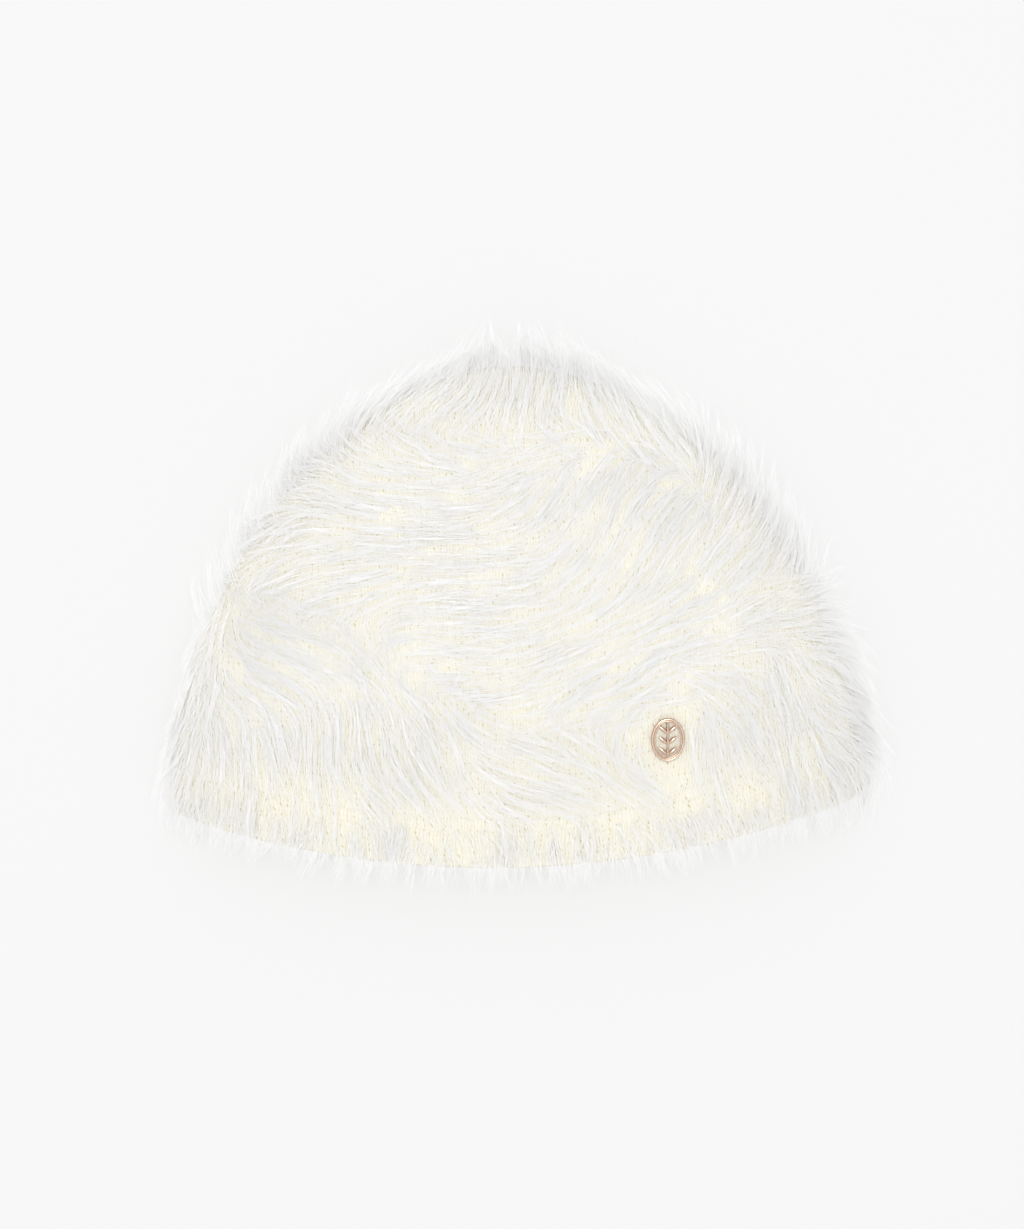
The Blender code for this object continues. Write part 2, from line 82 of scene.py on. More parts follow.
KNIT_WALL = 0.0026
STITCH_WIDTH = 0.00215
STITCH_HEIGHT = 0.00180
STITCH_RELIEF = 0.0002
STITCH_WOBBLE = 2.0
WOBBLE_SCALE = 0.35
LEG_CLIMB = 0.5
LEG_BLUNTNESS = 0.6
COURSE_BLUNTNESS = 0.5
COURSE_RELIEF = 0.7
FIBRE_SCALE = 7.0
FIBRE_RELIEF = 0.3
HOLE_NARROWNESS = 14.0
HOLE_LOWNESS = 4.0
HOLE_RARITY = 1.6
# Share of painted shade along the lines between stitch columns.
LINE_SHADE = 0.22
WARM_SCALE = 0.06
WARM_TINT = (1.0, 0.985, 0.93)
YARN_ROUGHNESS = 0.9
CREAM = (0.94, 0.915, 0.825)
# Darker, yellower tone painted into the stitch holes and along the lines between columns as shade.
STITCH_SHADE = (0.72, 0.66, 0.36)


def knit_form(level, turn):
    """Outer surface of the knit. Level 0 is the crown's tip, 1 the top of the ribbed band and
    2 the hem; turn 0 is the right fold, pi/2 the middle of the front. The outline is a
    superellipse, the courses sag like the hem, the front is a pillow and the back lies flat."""
    level, turn = np.broadcast_arrays(np.asarray(level, float), np.asarray(turn, float))
    angle = np.clip(level, 0, 1) * BAND_ANGLE
    edge_y = WIDEST_Y + CROWN_RISE * np.cos(angle) ** (2 / OUTLINE_POWER)
    edge_y = edge_y - np.maximum(level - 1, 0) * BAND_HEIGHT
    share = np.clip((edge_y - WIDEST_Y) / CROWN_RISE, 0, 1)
    half = HALF_WIDTH * (1 - share**OUTLINE_POWER) ** (1 / OUTLINE_POWER)
    half = half - SIDE_TUCK * (np.minimum(edge_y - WIDEST_Y, 0) / SIDE_DROP) ** 2
    x = half * np.cos(turn)
    across = np.sin(turn)
    y = edge_y - HEM_SAG * np.clip(level, 0, 1) ** SAG_GROWTH * across**2
    near_hem = np.clip(1 - (edge_y - HEM_EDGE_Y) / PUFF_FALL, 0, 1)
    near_hem = near_hem * near_hem * (3 - 2 * near_hem)
    fold_z = CROWN_FOLD_Z + (HEM_FOLD_Z - CROWN_FOLD_Z) * near_hem
    puff = CROWN_PUFF + (HEM_PUFF - CROWN_PUFF) * near_hem
    nose = np.sin(np.clip(level / TOP_FULL_LEVEL, 0, 1) * math.pi / 2)
    under_nose = np.sin(np.clip(level / UNDER_FULL_LEVEL, 0, 1) * math.pi / 2)
    dented = np.zeros_like(x)
    for dent_across, dent_up, radius, depth in DENTS:
        off_x = x / HALF_WIDTH - dent_across
        off_y = (y - WIDEST_Y - dent_up * CROWN_RISE) / HALF_WIDTH
        dented = dented + depth * np.exp(-(off_x**2 + off_y**2) / radius**2)
    top = 1 - (1 - np.clip(across, 0, 1)) ** PILLOW
    under = 1 - (1 - np.clip(-across / UNDER_FLAT, 0, 1)) ** UNDER_PILLOW
    z = fold_z + puff * nose * top * (1 - dented) - (fold_z - UNDERSIDE_Z) * under_nose * under
    return np.stack([x, y, z], axis=-1)


def knit_frame(level, turn):
    """Point, outward normal and both tangents, by central differences of the form."""
    step = 1e-4
    along_turn = (knit_form(level, turn + step) - knit_form(level, turn - step)) / (2 * step)
    along_level = (knit_form(level + step, turn) - knit_form(level - step, turn)) / (2 * step)
    normal = np.cross(along_turn, along_level)
    normal = normal / np.maximum(np.linalg.norm(normal, axis=-1, keepdims=True), 1e-9)
    return knit_form(level, turn), normal, along_turn, along_level


def wall_form(level, turn, depth):
    """The knit's surface moved inwards by a depth along its normal."""
    point, normal, _, _ = knit_frame(level, turn)
    return point - normal * np.asarray(depth)[..., None]


def put_in_scene(name, data):
    """Object at the origin that shows a mesh, a light or a camera."""
    piece = bpy.data.objects.new(name, data)
    bpy.context.scene.collection.objects.link(piece)
    return piece


def node_material(name):
    """New material, its node tree and its shader."""
    material = bpy.data.materials.new(name)
    material.use_nodes = True
    return material, material.node_tree, material.node_tree.nodes["Principled BSDF"]


def woven_grid(name, points, stitches, material, closed_rows=False):
    """Mesh through a grid of points whose columns run round the hat. The first and last rows
    close on themselves to a ring of rows, or to one middle point each. Stitches counts the
    stitches to each corner, with one column more than the points, and becomes the UV map."""
    rows, columns = points.shape[:2]
    row_pairs = np.arange(rows if closed_rows else rows - 1)
    next_row = (row_pairs + 1) % rows
    here = np.arange(columns)
    there = (here + 1) % columns
    quads = np.stack(
        [
            row_pairs[:, None] * columns + here,
            row_pairs[:, None] * columns + there,
            next_row[:, None] * columns + there,
            next_row[:, None] * columns + here,
        ],
        axis=-1,
    ).reshape(-1, 4)
    uv_rows = np.where(closed_rows, row_pairs + 1, next_row)
    corner_uv = np.stack(
        [
            stitches[row_pairs[:, None], here],
            stitches[row_pairs[:, None], here + 1],
            stitches[uv_rows[:, None], here + 1],
            stitches[uv_rows[:, None], here],
        ],
        axis=2,
    ).reshape(-1, 2)
    vertices = points.reshape(-1, 3)
    faces = quads.tolist()
    if not closed_rows:
        first = len(vertices)
        vertices = np.concatenate([vertices, [points[0].mean(0)], [points[-1].mean(0)]])
        last_row = (rows - 1) * columns
        second = first + 1
        faces += np.stack([np.full(columns, first), there, here], axis=-1).tolist()
        last_fan = [np.full(columns, second), last_row + here, last_row + there]
        faces += np.stack(last_fan, axis=-1).tolist()
        for row in (0, -1):
            fan = np.stack([stitches[row, :-1], stitches[row, :-1], stitches[row, :-1]], axis=1)
            corner_uv = np.concatenate([corner_uv, fan.reshape(-1, 2)])
    mesh = bpy.data.meshes.new(name)
    mesh.from_pydata(vertices.tolist(), [], faces)
    mesh.uv_layers.new(name="UVMap").data.foreach_set("uv", corner_uv.ravel())
    mesh.shade_smooth()
    mesh.materials.append(material)
    return put_in_scene(name, mesh)


def node_value(tree, operation, first, second=None, third=None):
    """Math node whose inputs are sockets or plain numbers."""
    node = tree.nodes.new("ShaderNodeMath")
    node.operation = operation
    for index, value in enumerate((first, second, third)):
        if value is None:
            continue
        if isinstance(value, (int, float)):
            node.inputs[index].default_value = value
        else:
            tree.links.new(value, node.inputs[index])
    return node.outputs[0]


def blend_colours(tree, share, first, second):
    """Mix of two colours, each a socket or three numbers."""
    node = tree.nodes.new("ShaderNodeMix")
    node.data_type = "RGBA"
    tree.links.new(share, node.inputs[0])
    for index, colour in ((6, first), (7, second)):
        if isinstance(colour, tuple):
            node.inputs[index].default_value = (*colour, 1)
        else:
            tree.links.new(colour, node.inputs[index])
    return node.outputs[2]


def half_wave(tree, value, power):
    """Sine of the value's share of half a turn, to a power."""
    turned = node_value(tree, "MULTIPLY", value, math.pi)
    return node_value(tree, "POWER", node_value(tree, "SINE", turned), power)


def bell_curve(tree, value, sharpness):
    """e to the power of minus the sharpness times the value squared."""
    squared = node_value(tree, "POWER", value, 2.0)
    return node_value(tree, "EXPONENT", node_value(tree, "MULTIPLY", squared, -sharpness))


def knitted_yarn(name, yarn, gap_shade, depth):
    """Plain knitting. Each stitch is a V whose two legs are half waves that climb towards its sides,
    with a shallow line between columns. Where the legs meet there is a small hole, a bell curve both
    ways, deeper in some stitches than in others. The holes and the lines between columns are painted
    a darker, yellower tone as shade, with more of it in the deeper holes."""
    material, tree, shader = node_material(name)
    uv = tree.nodes.new("ShaderNodeUVMap")
    uv.uv_map = "UVMap"
    wobble = tree.nodes.new("ShaderNodeTexNoise")
    wobble.inputs["Scale"].default_value = WOBBLE_SCALE
    wobble.inputs["Detail"].default_value = 4
    tree.links.new(uv.outputs[0], wobble.inputs["Vector"])
    parts = tree.nodes.new("ShaderNodeSeparateXYZ")
    tree.links.new(uv.outputs[0], parts.inputs[0])
    shift = node_value(tree, "MULTIPLY_ADD", wobble.outputs[0], STITCH_WOBBLE, -STITCH_WOBBLE / 2)
    column = node_value(tree, "ADD", parts.outputs[0], shift)
    side = node_value(tree, "MULTIPLY_ADD", node_value(tree, "FRACT", column), 2.0, -1.0)
    side = node_value(tree, "ABSOLUTE", side)
    across = half_wave(tree, side, LEG_BLUNTNESS)
    course = node_value(tree, "ADD", parts.outputs[1], shift)
    course = node_value(tree, "MULTIPLY_ADD", side, -LEG_CLIMB, course)
    row = node_value(tree, "FRACT", course)
    along = half_wave(tree, row, COURSE_BLUNTNESS)
    along = node_value(tree, "MULTIPLY_ADD", along, COURSE_RELIEF, 1 - COURSE_RELIEF)
    height = node_value(tree, "MULTIPLY", across, along)
    fibres = tree.nodes.new("ShaderNodeTexNoise")
    fibres.inputs["Scale"].default_value = FIBRE_SCALE
    fibres.inputs["Detail"].default_value = 3
    tree.links.new(uv.outputs[0], fibres.inputs["Vector"])
    each = tree.nodes.new("ShaderNodeTexWhiteNoise")
    cell = tree.nodes.new("ShaderNodeCombineXYZ")
    tree.links.new(node_value(tree, "FLOOR", column), cell.inputs[0])
    tree.links.new(node_value(tree, "FLOOR", course), cell.inputs[1])
    tree.links.new(cell.outputs[0], each.inputs["Vector"])
    narrow = bell_curve(tree, side, HOLE_NARROWNESS)
    off_row = node_value(tree, "ABSOLUTE", node_value(tree, "MULTIPLY_ADD", row, 2.0, -1.0))
    low = bell_curve(tree, off_row, HOLE_LOWNESS)
    strength = node_value(tree, "POWER", each.outputs[0], HOLE_RARITY)
    hole = node_value(tree, "MULTIPLY", node_value(tree, "MULTIPLY", narrow, low), strength)
    raised = node_value(tree, "MULTIPLY_ADD", fibres.outputs[0], FIBRE_RELIEF, height)
    raised = node_value(tree, "SUBTRACT", raised, hole)
    patches = tree.nodes.new("ShaderNodeTexNoise")
    patches.inputs["Scale"].default_value = WARM_SCALE
    tree.links.new(uv.outputs[0], patches.inputs["Vector"])
    warm = tuple(channel * tint for channel, tint in zip(yarn, WARM_TINT))
    yarn_colour = blend_colours(tree, patches.outputs[0], yarn, warm)
    # Painted shade: the colour turns towards the darker gap tone in the holes and along the lines
    # between columns.
    between = node_value(tree, "POWER", node_value(tree, "SUBTRACT", 1.0, height), 2.0)
    between = node_value(tree, "MULTIPLY", between, LINE_SHADE)
    sunken = node_value(tree, "MAXIMUM", hole, between)
    knit_colour = blend_colours(tree, sunken, yarn_colour, gap_shade)
    tree.links.new(knit_colour, shader.inputs["Base Color"])
    shader.inputs["Roughness"].default_value = YARN_ROUGHNESS
    bump = tree.nodes.new("ShaderNodeBump")
    bump.inputs["Distance"].default_value = depth
    tree.links.new(raised, bump.inputs["Height"])
    tree.links.new(bump.outputs[0], shader.inputs["Normal"])
    return material


CROWN_COLUMNS = 240
CROWN_ROWS = 64
crown_turns = math.pi / 2 + 2 * math.pi * np.arange(CROWN_COLUMNS + 1) / CROWN_COLUMNS - math.pi
outer_levels = np.append(np.linspace(0.01, 0.9994, CROWN_ROWS - 1), 1.0)
round_levels = np.concatenate([outer_levels, outer_levels[::-1]])
depths = np.concatenate([np.zeros(CROWN_ROWS), np.full(CROWN_ROWS, KNIT_WALL)])
crown_grid = wall_form(round_levels[:, None], crown_turns[None, :], depths[:, None])
across_steps = np.linalg.norm(np.diff(crown_grid, axis=1), axis=2)
column_run = np.cumsum(across_steps, axis=1)
column_run = np.concatenate([np.zeros((len(crown_grid), 1)), column_run], axis=1)
column_run -= column_run[:, CROWN_COLUMNS // 2 : CROWN_COLUMNS // 2 + 1]
front_line = crown_grid[:, CROWN_COLUMNS // 2]
row_run = np.concatenate([[0], np.cumsum(np.linalg.norm(np.diff(front_line, axis=0), axis=1))])
crown_stitches = np.stack(
    np.broadcast_arrays(column_run / STITCH_WIDTH, -row_run[:, None] / STITCH_HEIGHT), axis=-1
)
cream_knit = knitted_yarn("cream knit", CREAM, STITCH_SHADE, STITCH_RELIEF)
crown = woven_grid("crown_knit", crown_grid[:, :-1], crown_stitches, cream_knit)
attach(crown, "root")
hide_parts("knit_crown")

# Hem band: a deep rib, knitted on at the dome's edge and drawn in a little.
# Each rib is one raised column of stitches beside a sunken one.
RIBS = 106
RIB_DEPTH = 0.0011
RIB_SAMPLES = 8
RIB_BLUNTNESS = 0.6
BAND_WALL = 0.0022
BAND_ROWS = 14
HEM_ROUND_ROWS = 5
SEAM = 0.00005
RIB_FADE = 0.35
MID_BAND_LEVEL = 1.5
FINE_COLUMNS = 1440
RIB_CREAM = (0.93, 0.905, 0.815)
rib_columns = RIBS * RIB_SAMPLES
fine_turns = np.linspace(-math.pi / 2, 3 * math.pi / 2, FINE_COLUMNS + 1)
fine_steps = np.linalg.norm(np.diff(knit_form(MID_BAND_LEVEL, fine_turns), axis=0), axis=1)
fine_run = np.concatenate([[0], np.cumsum(fine_steps)])
band_turns = np.interp(np.linspace(0, fine_run[-1], rib_columns + 1), fine_run, fine_turns)
wave = np.cos(2 * math.pi * np.arange(rib_columns + 1) / RIB_SAMPLES)
wave = np.sign(wave) * np.abs(wave) ** RIB_BLUNTNESS * RIB_DEPTH / 2
half_round = np.linspace(0, math.pi, HEM_ROUND_ROWS + 2)[1:-1]
rounding = BAND_WALL / 2 / BAND_HEIGHT
straight = np.linspace(1 + 3 * SEAM / BAND_HEIGHT, 2 - rounding, BAND_ROWS - 1)
straight = np.append(1 + SEAM / BAND_HEIGHT, straight)
band_levels = np.concatenate(
    [straight, 2 - rounding * (1 - np.sin(half_round)), straight[::-1]]
)
band_depths = np.concatenate(
    [np.zeros(BAND_ROWS), BAND_WALL / 2 * (1 - np.cos(half_round)), np.full(BAND_ROWS, BAND_WALL)]
)
ribbed = np.clip((band_levels - 1) / RIB_FADE, 0, 1)
ribbed = ribbed * ribbed * (3 - 2 * ribbed)
band_grid = wall_form(
    np.broadcast_to(band_levels[:, None], (len(band_levels), rib_columns + 1)),
    np.broadcast_to(band_turns[None, :], (len(band_levels), rib_columns + 1)),
    band_depths[:, None] - ribbed[:, None] * wave[None, :],
)
band_steps = np.linalg.norm(np.diff(band_grid[:, 0], axis=0), axis=1)
band_run = np.concatenate([[0], np.cumsum(band_steps)])
band_run = np.append(band_run, band_run[-1] + BAND_WALL)
rib_places = 2 * np.arange(rib_columns + 1) / RIB_SAMPLES + 0.5
rib_stitches = np.stack(
    np.broadcast_arrays(rib_places, -band_run[:, None] / STITCH_HEIGHT), axis=-1
)
rib_knit = knitted_yarn("cream rib knit", RIB_CREAM, STITCH_SHADE, STITCH_RELIEF)
band = woven_grid("rib_band", band_grid[:, :-1], rib_stitches, rib_knit, closed_rows=True)
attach(band, "root")
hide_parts("hem_band")

# Pile: long, fine, slightly waved hairs of white acrylic caught into the stitches, lying in
# locks that were combed by hand, so they run in sweeps and part over the knit here and there.
HAIR_STEPS = 5
HAIR_SIDES = 3
WALK_STEPS = 10
ROOT_LEVEL = 0.03
LOOSEST_LEVEL = 2.9
LONGEST_TURN = 0.4
RISE_SPEED = 4
TIP_SINK = 0.45
BEND_SPAN = 1.6
BEND_START = 0.4
DROOP = 0.12
DROOP_GROWTH = 8
HANG_PACE = 0.85
HANG_FALL = 0.25
LOCK_NARROWING = 1.2
HAIR_WAVE = 0.00035
WAVE_ANGLES = (3, 8)
WAVE_STARTS = (0, 6)
LENGTH_SHARES = (0.75, 1.10)
THICKNESS_SHARES = (0.75, 1.25)
TIP_RADIUS = 0.00002
FLOOR_Z = 0.0003
WHITE = (0.97, 0.97, 0.972)
ROOT_WHITE = (0.93, 0.925, 0.915)
ROOT_SHORTNESS = 0.6
SHADE_SPREAD = 0.02
HAIR_ROUGHNESS = 0.45
PHOTO_TURN = 1.66
CHART = np.array(
    (
        # x and y in mm, heading in degrees from +X towards +Y, all as the hat lies in the photograph
        (-15, 90, 90), (-8, 76, 78), (-7, 88, 94), (1, 76, 68), (2, 86, 96), (7, 80, 72),
        (7, 92, 102), (14, 78, 72), (17, 84, 68), (21, 90, 88), (25, 84, 106), (33, 80, 98),
        (37, 76, 108), (35, 88, 97), (42, 80, 122), (48, 72, 124), (54, 72, 98), (60, 62, 128),
        (65, 66, 78), (68, 58, 80), (74, 46, 68), (77, 56, 66), (84, 46, 64), (83, 34, 58),
        (88, 25, 46), (92, 22, 70), (96, 34, 62), (100, 22, 84), (106, 20, 70), (-20, 84, 60),
        (-25, 78, 36), (-35, 76, 36), (-47, 72, 40), (-55, 69, 60), (-42, 84, 72), (-48, 79, 72),
        (-54, 77, 74), (-62, 69, 80), (-66, 64, 88), (-74, 60, 86), (-80, 50, 80), (-88, 45, 95),
        (-84, 43, 86), (-98, 25, 102), (-100, 30, 100), (-106, 14, 112), (-110, 5, 128),
        (-42, 66, 28), (-30, 66, 30), (-22, 70, 40), (-10, 70, 60), (2, 68, 64), (12, 68, 74),
        (22, 68, 128), (30, 66, 120), (40, 66, 118), (50, 58, 132), (58, 54, 130), (20, 60, 186),
        (10, 61, 184), (0, 59, 190), (-10, 58, 182), (-20, 59, 160), (-30, 62, 152), (-42, 60, 158),
        (-52, 57, 150), (-62, 54, 148), (-70, 52, 190), (-74, 47, 205), (12, 56, 200), (4, 52, 208),
        (-4, 47, 214), (-12, 42, 200), (-20, 50, 178), (-35, 50, 174), (-50, 48, 172),
        (-62, 46, 156), (-58, 40, 160), (-50, 34, 170), (-64, 38, 164), (-72, 39, 182),
        (-80, 36, 206), (-88, 31, 228), (-86, 24, 215), (-92, 15, 225), (-20, 40, 182),
        (-35, 40, 180), (-45, 40, 176), (-20, 32, 182), (-35, 30, 180), (-50, 26, 178),
        (-65, 28, 182), (-75, 26, 190), (-5, 36, 200), (5, 30, 196), (0, 22, 184), (-15, 22, 180),
        (-30, 20, 182), (-45, 18, 196), (-58, 18, 186), (-70, 14, 196), (-80, 12, 205),
        (16, 52, 232), (12, 44, 242), (9, 36, 238), (8, 26, 205), (21, 48, 252), (19, 40, 244),
        (16, 32, 236), (18, 22, 222), (30, 48, 238), (26, 42, 240), (22, 34, 240), (34, 42, 255),
        (32, 32, 258), (30, 24, 246), (24, 18, 218), (14, 15, 204), (40, 54, 222), (44, 46, 232),
        (4, 13, 192), (-8, 14, 182), (-22, 10, 186), (-35, 8, 192), (-48, 12, 192), (-60, 9, 192),
        (-70, 5, 205), (-15, 4, 178), (-28, 5, 192), (-40, 1, 204), (-50, 0, 222), (-56, -4, 214),
        (38, 28, 254), (36, 18, 250), (32, 12, 232), (26, 8, 222), (42, 34, 236), (48, 34, 232),
        (46, 24, 238), (44, 14, 240), (54, 28, 238), (52, 18, 240), (50, 8, 222), (60, 20, 236),
        (58, 12, 226), (60, 40, 232), (66, 36, 236), (66, 26, 70), (70, 32, 64), (74, 24, 30),
        (78, 36, 62), (68, 14, 50), (76, 12, 55), (84, 10, 40), (10, 4, 204), (20, 2, 208),
        (30, 4, 212), (40, 4, 212), (0, 0, 186), (-12, -3, 180), (-25, -4, 176), (-36, -8, 184),
        (0, -8, 192), (12, -6, 204), (24, -6, 206), (36, -6, 206), (48, -2, 204), (58, 2, 198),
        (-12, -12, 180), (-26, -12, 184), (-40, -13, 192), (4, -16, 196), (16, -15, 202),
        (28, -12, 202), (40, -12, 196), (52, -8, 200), (64, -2, 205), (-6, -22, 184), (6, -22, 192),
        (18, -22, 222), (14, -27, 232), (28, -18, 210), (-20, -22, 174), (-30, -18, 172),
        (26, -28, 180), (38, -28, 184), (48, -31, 186), (60, -31, 176), (36, -20, 200),
        (42, -20, 262), (2, -29, 188), (-10, -30, 182), (14, -36, 205), (4, -38, 186),
        (30, -36, 186), (72, -10, 32), (80, -4, 30), (88, 1, 12), (97, 3, 4), (106, 6, 20),
        (112, 9, 22), (70, 4, 208), (80, 4, 30), (112, -1, -2), (118, -4, -6), (110, -8, -4),
        (66, -15, 2), (76, -15, 4), (86, -11, -20), (74, -20, 6), (66, -24, -20), (90, -18, -80),
        (94, -26, -80), (97, -20, -64), (100, -32, -68), (103, -24, -66), (108, -36, -66),
        (112, -16, -12), (118, -20, -32), (121, -26, -50), (112, -28, -6), (119, -30, -14),
        (124, -34, -36), (116, -36, -14), (123, -39, -30), (116, -44, -34), (124, -47, -42),
        (110, -50, -55), (119, -54, -60), (123, -62, -70), (124, -70, -78), (113, -64, -58),
        (116, -70, -64), (111, -72, -86), (101, -64, -80), (103, -74, -84), (106, -66, -72),
        (92, -66, -62), (96, -74, -78), (82, -38, -62), (86, -46, -62), (80, -48, -46),
        (88, -56, -42), (95, -64, -60), (94, -48, -86), (96, -56, -82), (102, -48, -74),
        (76, -34, -50), (72, -28, -30), (84, -30, -50), (88, -38, -70), (64, -36, -82),
        (66, -46, -86), (68, -56, -84), (74, -50, -70), (74, -60, -64), (80, -58, -58),
        (70, -68, -68), (76, -76, -65), (58, -66, -40), (50, -64, -26), (40, -62, -20),
        (30, -59, -14), (56, -76, -70), (60, -84, -72), (50, -82, -62), (46, -72, -60),
        (84, -72, -78), (86, -64, -64), (84, -80, -82), (92, -78, -84), (34, -42, -86),
        (35, -50, -84), (37, -58, -62), (28, -46, -80), (20, -44, -30), (10, -44, -20),
        (0, -44, -12), (-8, -40, -10), (0, -50, -12), (10, -51, -12), (20, -54, -20),
        (26, -58, -32), (4, -58, -16), (14, -63, -4), (24, -66, -12), (34, -68, -20), (4, -67, -14),
        (-6, -69, -4), (-97, 1, -18), (-90, -3, -18), (-80, -7, -14), (-70, -8, -4), (-60, -9, -6),
        (-50, -10, -20), (-44, -18, -40), (-38, -24, -40), (-30, -29, -42), (-22, -37, -44),
        (-14, -42, -30), (-6, -46, -20), (-12, -52, -28), (-4, -56, -28), (-20, -46, -62),
        (-14, -62, -72), (-12, -67, -30), (-104, -4, 240), (-110, -12, 244), (-118, -20, 244),
        (-124, -32, 242), (-126, -46, 235), (-126, -60, 240), (-124, -72, 246), (-112, -30, 248),
        (-112, -46, 256), (-112, -62, 262), (-106, -20, 258), (-100, -14, -60), (-94, -12, -34),
        (-84, -16, -28), (-76, -20, -10), (-88, -21, -10), (-70, -24, -40), (-66, -32, -78),
        (-67, -44, -96), (-64, -20, -36), (-59, -26, -62), (-57, -36, -84), (-60, -46, -94),
        (-54, -30, -78), (-52, -20, -50), (-102, -31, -40), (-94, -33, -22), (-88, -38, -46),
        (-84, -46, -74), (-81, -56, -86), (-100, -44, -88), (-97, -42, -90), (-98, -56, -94),
        (-99, -70, -93), (-100, -80, -94), (-91, -48, -84), (-90, -60, -90), (-75, -40, -90),
        (-76, -52, -92), (-76, -64, -90), (-74, -30, -70), (-80, -26, -40), (-71, -66, -78),
        (-72, -74, -104), (-77, -80, -114), (-84, -68, -95), (-83, -80, -112), (-94, -74, -108),
        (-90, -74, -116), (-96, -82, -106), (-108, -76, -100), (-116, -78, -104), (-46, -28, -62),
        (-46, -38, -84), (-50, -48, -84), (-44, -46, -88), (-58, -56, -60), (-52, -62, -50),
        (-46, -68, -52), (-64, -60, -80), (-66, -72, -92), (-58, -72, -88), (-36, -36, -60),
        (-35, -46, -82), (-38, -50, -52), (-32, -57, -50), (-28, -42, -66), (-24, -52, -88),
        (-22, -62, -80), (-27, -64, -60), (-20, -70, -42), (-36, -62, -48), (-40, -58, -50),
        (-13, -76, -60), (-11, -82, -80), (-50, -80, -92), (-38, -84, -112), (-34, -78, -104),
        (-26, -80, -92), (-60, -84, -100), (-4, -80, -86), (4, -84, -88), (12, -80, -88),
        (20, -84, -86), (28, -80, -84), (36, -80, -76), (-14, -88, -86), (42, -86, -70),
        (4, -76, -80), (20, -76, -80), (-2, -92, -90), (30, -90, -84), (-44, -90, -100),
        (68, -86, -74), (104, -82, -80), (-70, -88, -108),
    ),
    float,
)
turn_cosine, turn_sine = math.cos(math.radians(PHOTO_TURN)), math.sin(math.radians(PHOTO_TURN))
COMB = np.stack(
    [
        # the chart turned back into the hat's own frame, in whole mm and degrees
        CHART[:, 0] * turn_cosine + CHART[:, 1] * turn_sine,
        CHART[:, 1] * turn_cosine - CHART[:, 0] * turn_sine,
        (CHART[:, 2] - PHOTO_TURN) % 360,
    ],
    axis=1,
).round()
COMB_BLEND = 5.0
MM_PER_M = 1000
AREA_LEVELS = 80
AREA_TURNS = 240
pile_random = np.random.default_rng(11)


def combed_way(points):
    """Unit vectors in the plane: the charted headings weighted by a bell curve of distance."""
    off = points[:, None, :2] * MM_PER_M - COMB[None, :, :2]
    apart = np.sum(off**2, axis=2)
    weights = np.exp((apart.min(axis=1, keepdims=True) - apart) / (2 * COMB_BLEND**2))
    heading = np.radians(COMB[:, 2])
    east, north = weights @ np.cos(heading), weights @ np.sin(heading)
    way = np.stack([east, north, np.zeros(len(points))], axis=1)
    return way / np.maximum(np.linalg.norm(way, axis=1, keepdims=True), 1e-12)


def scattered_roots(count, first_level, last_level, density):
    """Places spread evenly over the cloth: cells of the form are run through in order and one
    is taken each time the cloth passed adds up to the next share."""
    levels = np.linspace(first_level, last_level, AREA_LEVELS + 1)
    turns = np.linspace(-math.pi / 2, 3 * math.pi / 2, AREA_TURNS + 1)
    middle_level = (levels[:-1] + levels[1:])[:, None] / 2
    middle_turn = (turns[:-1] + turns[1:])[None, :] / 2
    point, _, along_turn, along_level = knit_frame(middle_level, middle_turn)
    area = np.linalg.norm(np.cross(along_turn, along_level), axis=2)
    area = area * density(point, middle_turn)
    passed = np.cumsum(area)
    marks = (np.arange(count) + pile_random.random(count)) / count * passed[-1]
    cell = np.clip(np.searchsorted(passed, marks), 0, area.size - 1)
    level_step, turn_step = levels[1] - levels[0], turns[1] - turns[0]
    level = levels[cell // AREA_TURNS] + pile_random.random(count) * level_step
    turn = turns[cell % AREA_TURNS] + pile_random.random(count) * turn_step
    return level, turn


